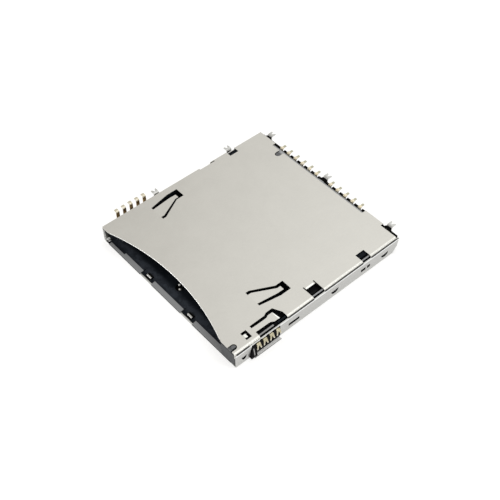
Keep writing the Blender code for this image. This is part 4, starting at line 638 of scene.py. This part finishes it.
def return_spring():
    """The ejector's return spring, with closed end turns.

    The wire's middle line is at the angle 2 pi n after n turns, R from the spring's axis,
    and it moves along y by just over one wire thickness in the first and the last turn and
    evenly between them. Round that line the section is a circle of the wire's radius,
    between the outward direction and the direction square to both it and the line.
    """
    rings, sides = 361, 12
    low, high = (np.array(corner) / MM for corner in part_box("eject_spring"))
    middle = (low + high) / 2.0
    radius = (high[0] - low[0]) / 2.0 - SPRING_WIRE
    first, last = low[1] + SPRING_WIRE, high[1] - SPRING_WIRE
    closed = 2.05 * SPRING_WIRE
    turns = np.linspace(0.0, SPRING_TURNS, rings)
    stops = [first, first + closed, last - closed, last]
    angle = 2.0 * np.pi * turns
    outward = np.stack([np.cos(angle), 0.0 * angle, np.sin(angle)], axis=-1)
    line = middle + radius * outward
    line[:, 1] = np.interp(turns, [0.0, 1.0, SPRING_TURNS - 1.0, SPRING_TURNS], stops)
    ahead = np.gradient(line, axis=0)
    ahead = ahead - outward * np.sum(ahead * outward, axis=1, keepdims=True)
    ahead = ahead / np.linalg.norm(ahead, axis=1, keepdims=True)
    across = np.cross(ahead, outward)
    tilt = round_the_clock(sides)[None, :, None]
    section = outward[:, None] * np.cos(tilt) + across[:, None] * np.sin(tilt)
    points = line[:, None] + SPRING_WIRE * section
    faces = swept_faces(rings, sides)
    spring = add_piece("return_spring", points, faces, STEEL)
    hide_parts("eject_spring")
    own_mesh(spring)


FLOOR_HALF = 400.0
FLOOR_DROP = 0.002  # keeps the floor from lying in one plane with the tray
FLOOR_GREY, FLOOR_SEEN = (0.8, 0.8, 0.8), (0.5, 0.5, 0.5)
FLOOR_GLOW = 0.64


def add_floor():
    """A plain pale floor, white to the camera, metal and glass, that keeps the shadow."""
    half = FLOOR_HALF * MM
    mesh = bpy.data.meshes.new("floor")
    signs = ((-1.0, -1.0), (1.0, -1.0), (1.0, 1.0), (-1.0, 1.0))
    corners = [(half * right, half * back, 0.0) for right, back in signs]
    mesh.from_pydata(corners, [], [(0, 1, 2, 3)])
    floor = bpy.data.objects.new("floor", mesh)
    bpy.context.scene.collection.objects.link(floor)
    floor.location = (0.0, 0.0, -FLOOR_DROP * MM)
    made = bpy.data.materials.new("floor")
    made.use_nodes = True
    graph = Graph(made.node_tree)
    paint = graph.node("ShaderNodeBsdfDiffuse", None, Color=FLOOR_GREY)
    pale = graph.node("ShaderNodeBsdfDiffuse", None, Color=FLOOR_SEEN)
    path = graph.node("ShaderNodeLightPath")
    seen = path.part("Is Camera Ray") + path.part("Is Glossy Ray")
    seen = seen + path.part("Is Transmission Ray")
    white = (1.0, 1.0, 1.0)
    glow = graph.node("ShaderNodeEmission", None, Color=white, Strength=FLOOR_GLOW)
    both = graph.node("ShaderNodeAddShader", None, pale, glow)
    shown = graph.node("ShaderNodeMixShader", None, seen, paint, both)
    graph.node("ShaderNodeOutputMaterial", None, Surface=shown)
    mesh.materials.append(made)


ROOM_LIGHT, OVERHEAD_LIGHT = (0.67, 0.655, 0.625), (1.36, 1.37, 1.35)
OVERHEAD_TOWARD = (-0.25, 0.55, 0.8)
OVERHEAD_START, OVERHEAD_SOFT = 0.935, 0.13


def add_world():
    """Soft studio surround: a plain level with a wide bright area overhead."""
    world = bpy.data.worlds.new("studio")
    bpy.context.scene.world = world
    world.use_nodes = True
    graph = Graph(world.node_tree)
    x, y, z = graph.axes(graph.node("ShaderNodeTexCoord").part("Generated"))
    part_x, part_y, part_z = OVERHEAD_TOWARD
    overhead = x * part_x + y * part_y + z * part_z
    lit = overhead.above(OVERHEAD_START, OVERHEAD_SOFT)
    light = graph.mix(lit, ROOM_LIGHT, OVERHEAD_LIGHT)
    plain = graph.node("ShaderNodeBackground", None, Color=light, Strength=1.0)
    graph.node("ShaderNodeOutputWorld", None, Surface=plain)


# Soft lamps: name, place and diameter in metres, power in watts
LAMPS = (
    ("key", (0.10, 0.05, 0.30), 0.2, 0.12),
    ("edge", (0.302, 0.168, 0.20), 0.1, 0.25),
    ("front", (-0.20, -0.302, 0.168), 0.1, 0.25),
)


def add_lamp(name, place, size, power):
    """A soft round area lamp that points at the middle of the object."""
    data = bpy.data.lights.new(name, "AREA")
    data.shape = "DISK"
    data.size = size
    data.energy = power
    lamp = bpy.data.objects.new(name, data)
    bpy.context.scene.collection.objects.link(lamp)
    lamp.location = place
    lamp.rotation_euler = Vector(place).to_track_quat("Z", "Y").to_euler()


# The photograph's view, in degrees, millimetres and shares of the frame's width
VIEW_ANGLES = (49.92, 48.99, -1.209)  # turn, rise and roll
VIEW_DISTANCE = 123.8
VIEW_AIM = (0.0, -0.16, 0.0)
VIEW_LENS, VIEW_SENSOR = 64.75, 36.0
VIEW_SHIFT = (0.0016, -0.0093)


def add_camera():
    """The photograph's view: angle, distance, roll and the point in its middle."""
    turn, rise, roll = (math.radians(angle) for angle in VIEW_ANGLES)
    level = math.cos(rise)
    back = Vector((math.sin(turn) * level, -math.cos(turn) * level, math.sin(rise)))
    data = bpy.data.cameras.new("camera")
    data.lens = VIEW_LENS
    data.sensor_width = VIEW_SENSOR
    data.shift_x, data.shift_y = VIEW_SHIFT
    data.clip_start, data.clip_end = 1.0 * MM, 5.0
    camera = bpy.data.objects.new("camera", data)
    bpy.context.scene.collection.objects.link(camera)
    look = (-back).to_track_quat("-Z", "Y").to_matrix().to_4x4()
    place = Vector([at * MM for at in VIEW_AIM]) + back * (VIEW_DISTANCE * MM)
    spin = Matrix.Rotation(roll, 4, "Z")
    camera.matrix_world = Matrix.Translation(place) @ look @ spin
    bpy.context.scene.camera = camera


dress_nodes()
rolled_rim()
stud_caps()
return_spring()
add_floor()
add_world()
for lamp_row in LAMPS:
    add_lamp(*lamp_row)
add_camera()

bpy.context.scene.view_settings.view_transform = "Standard"
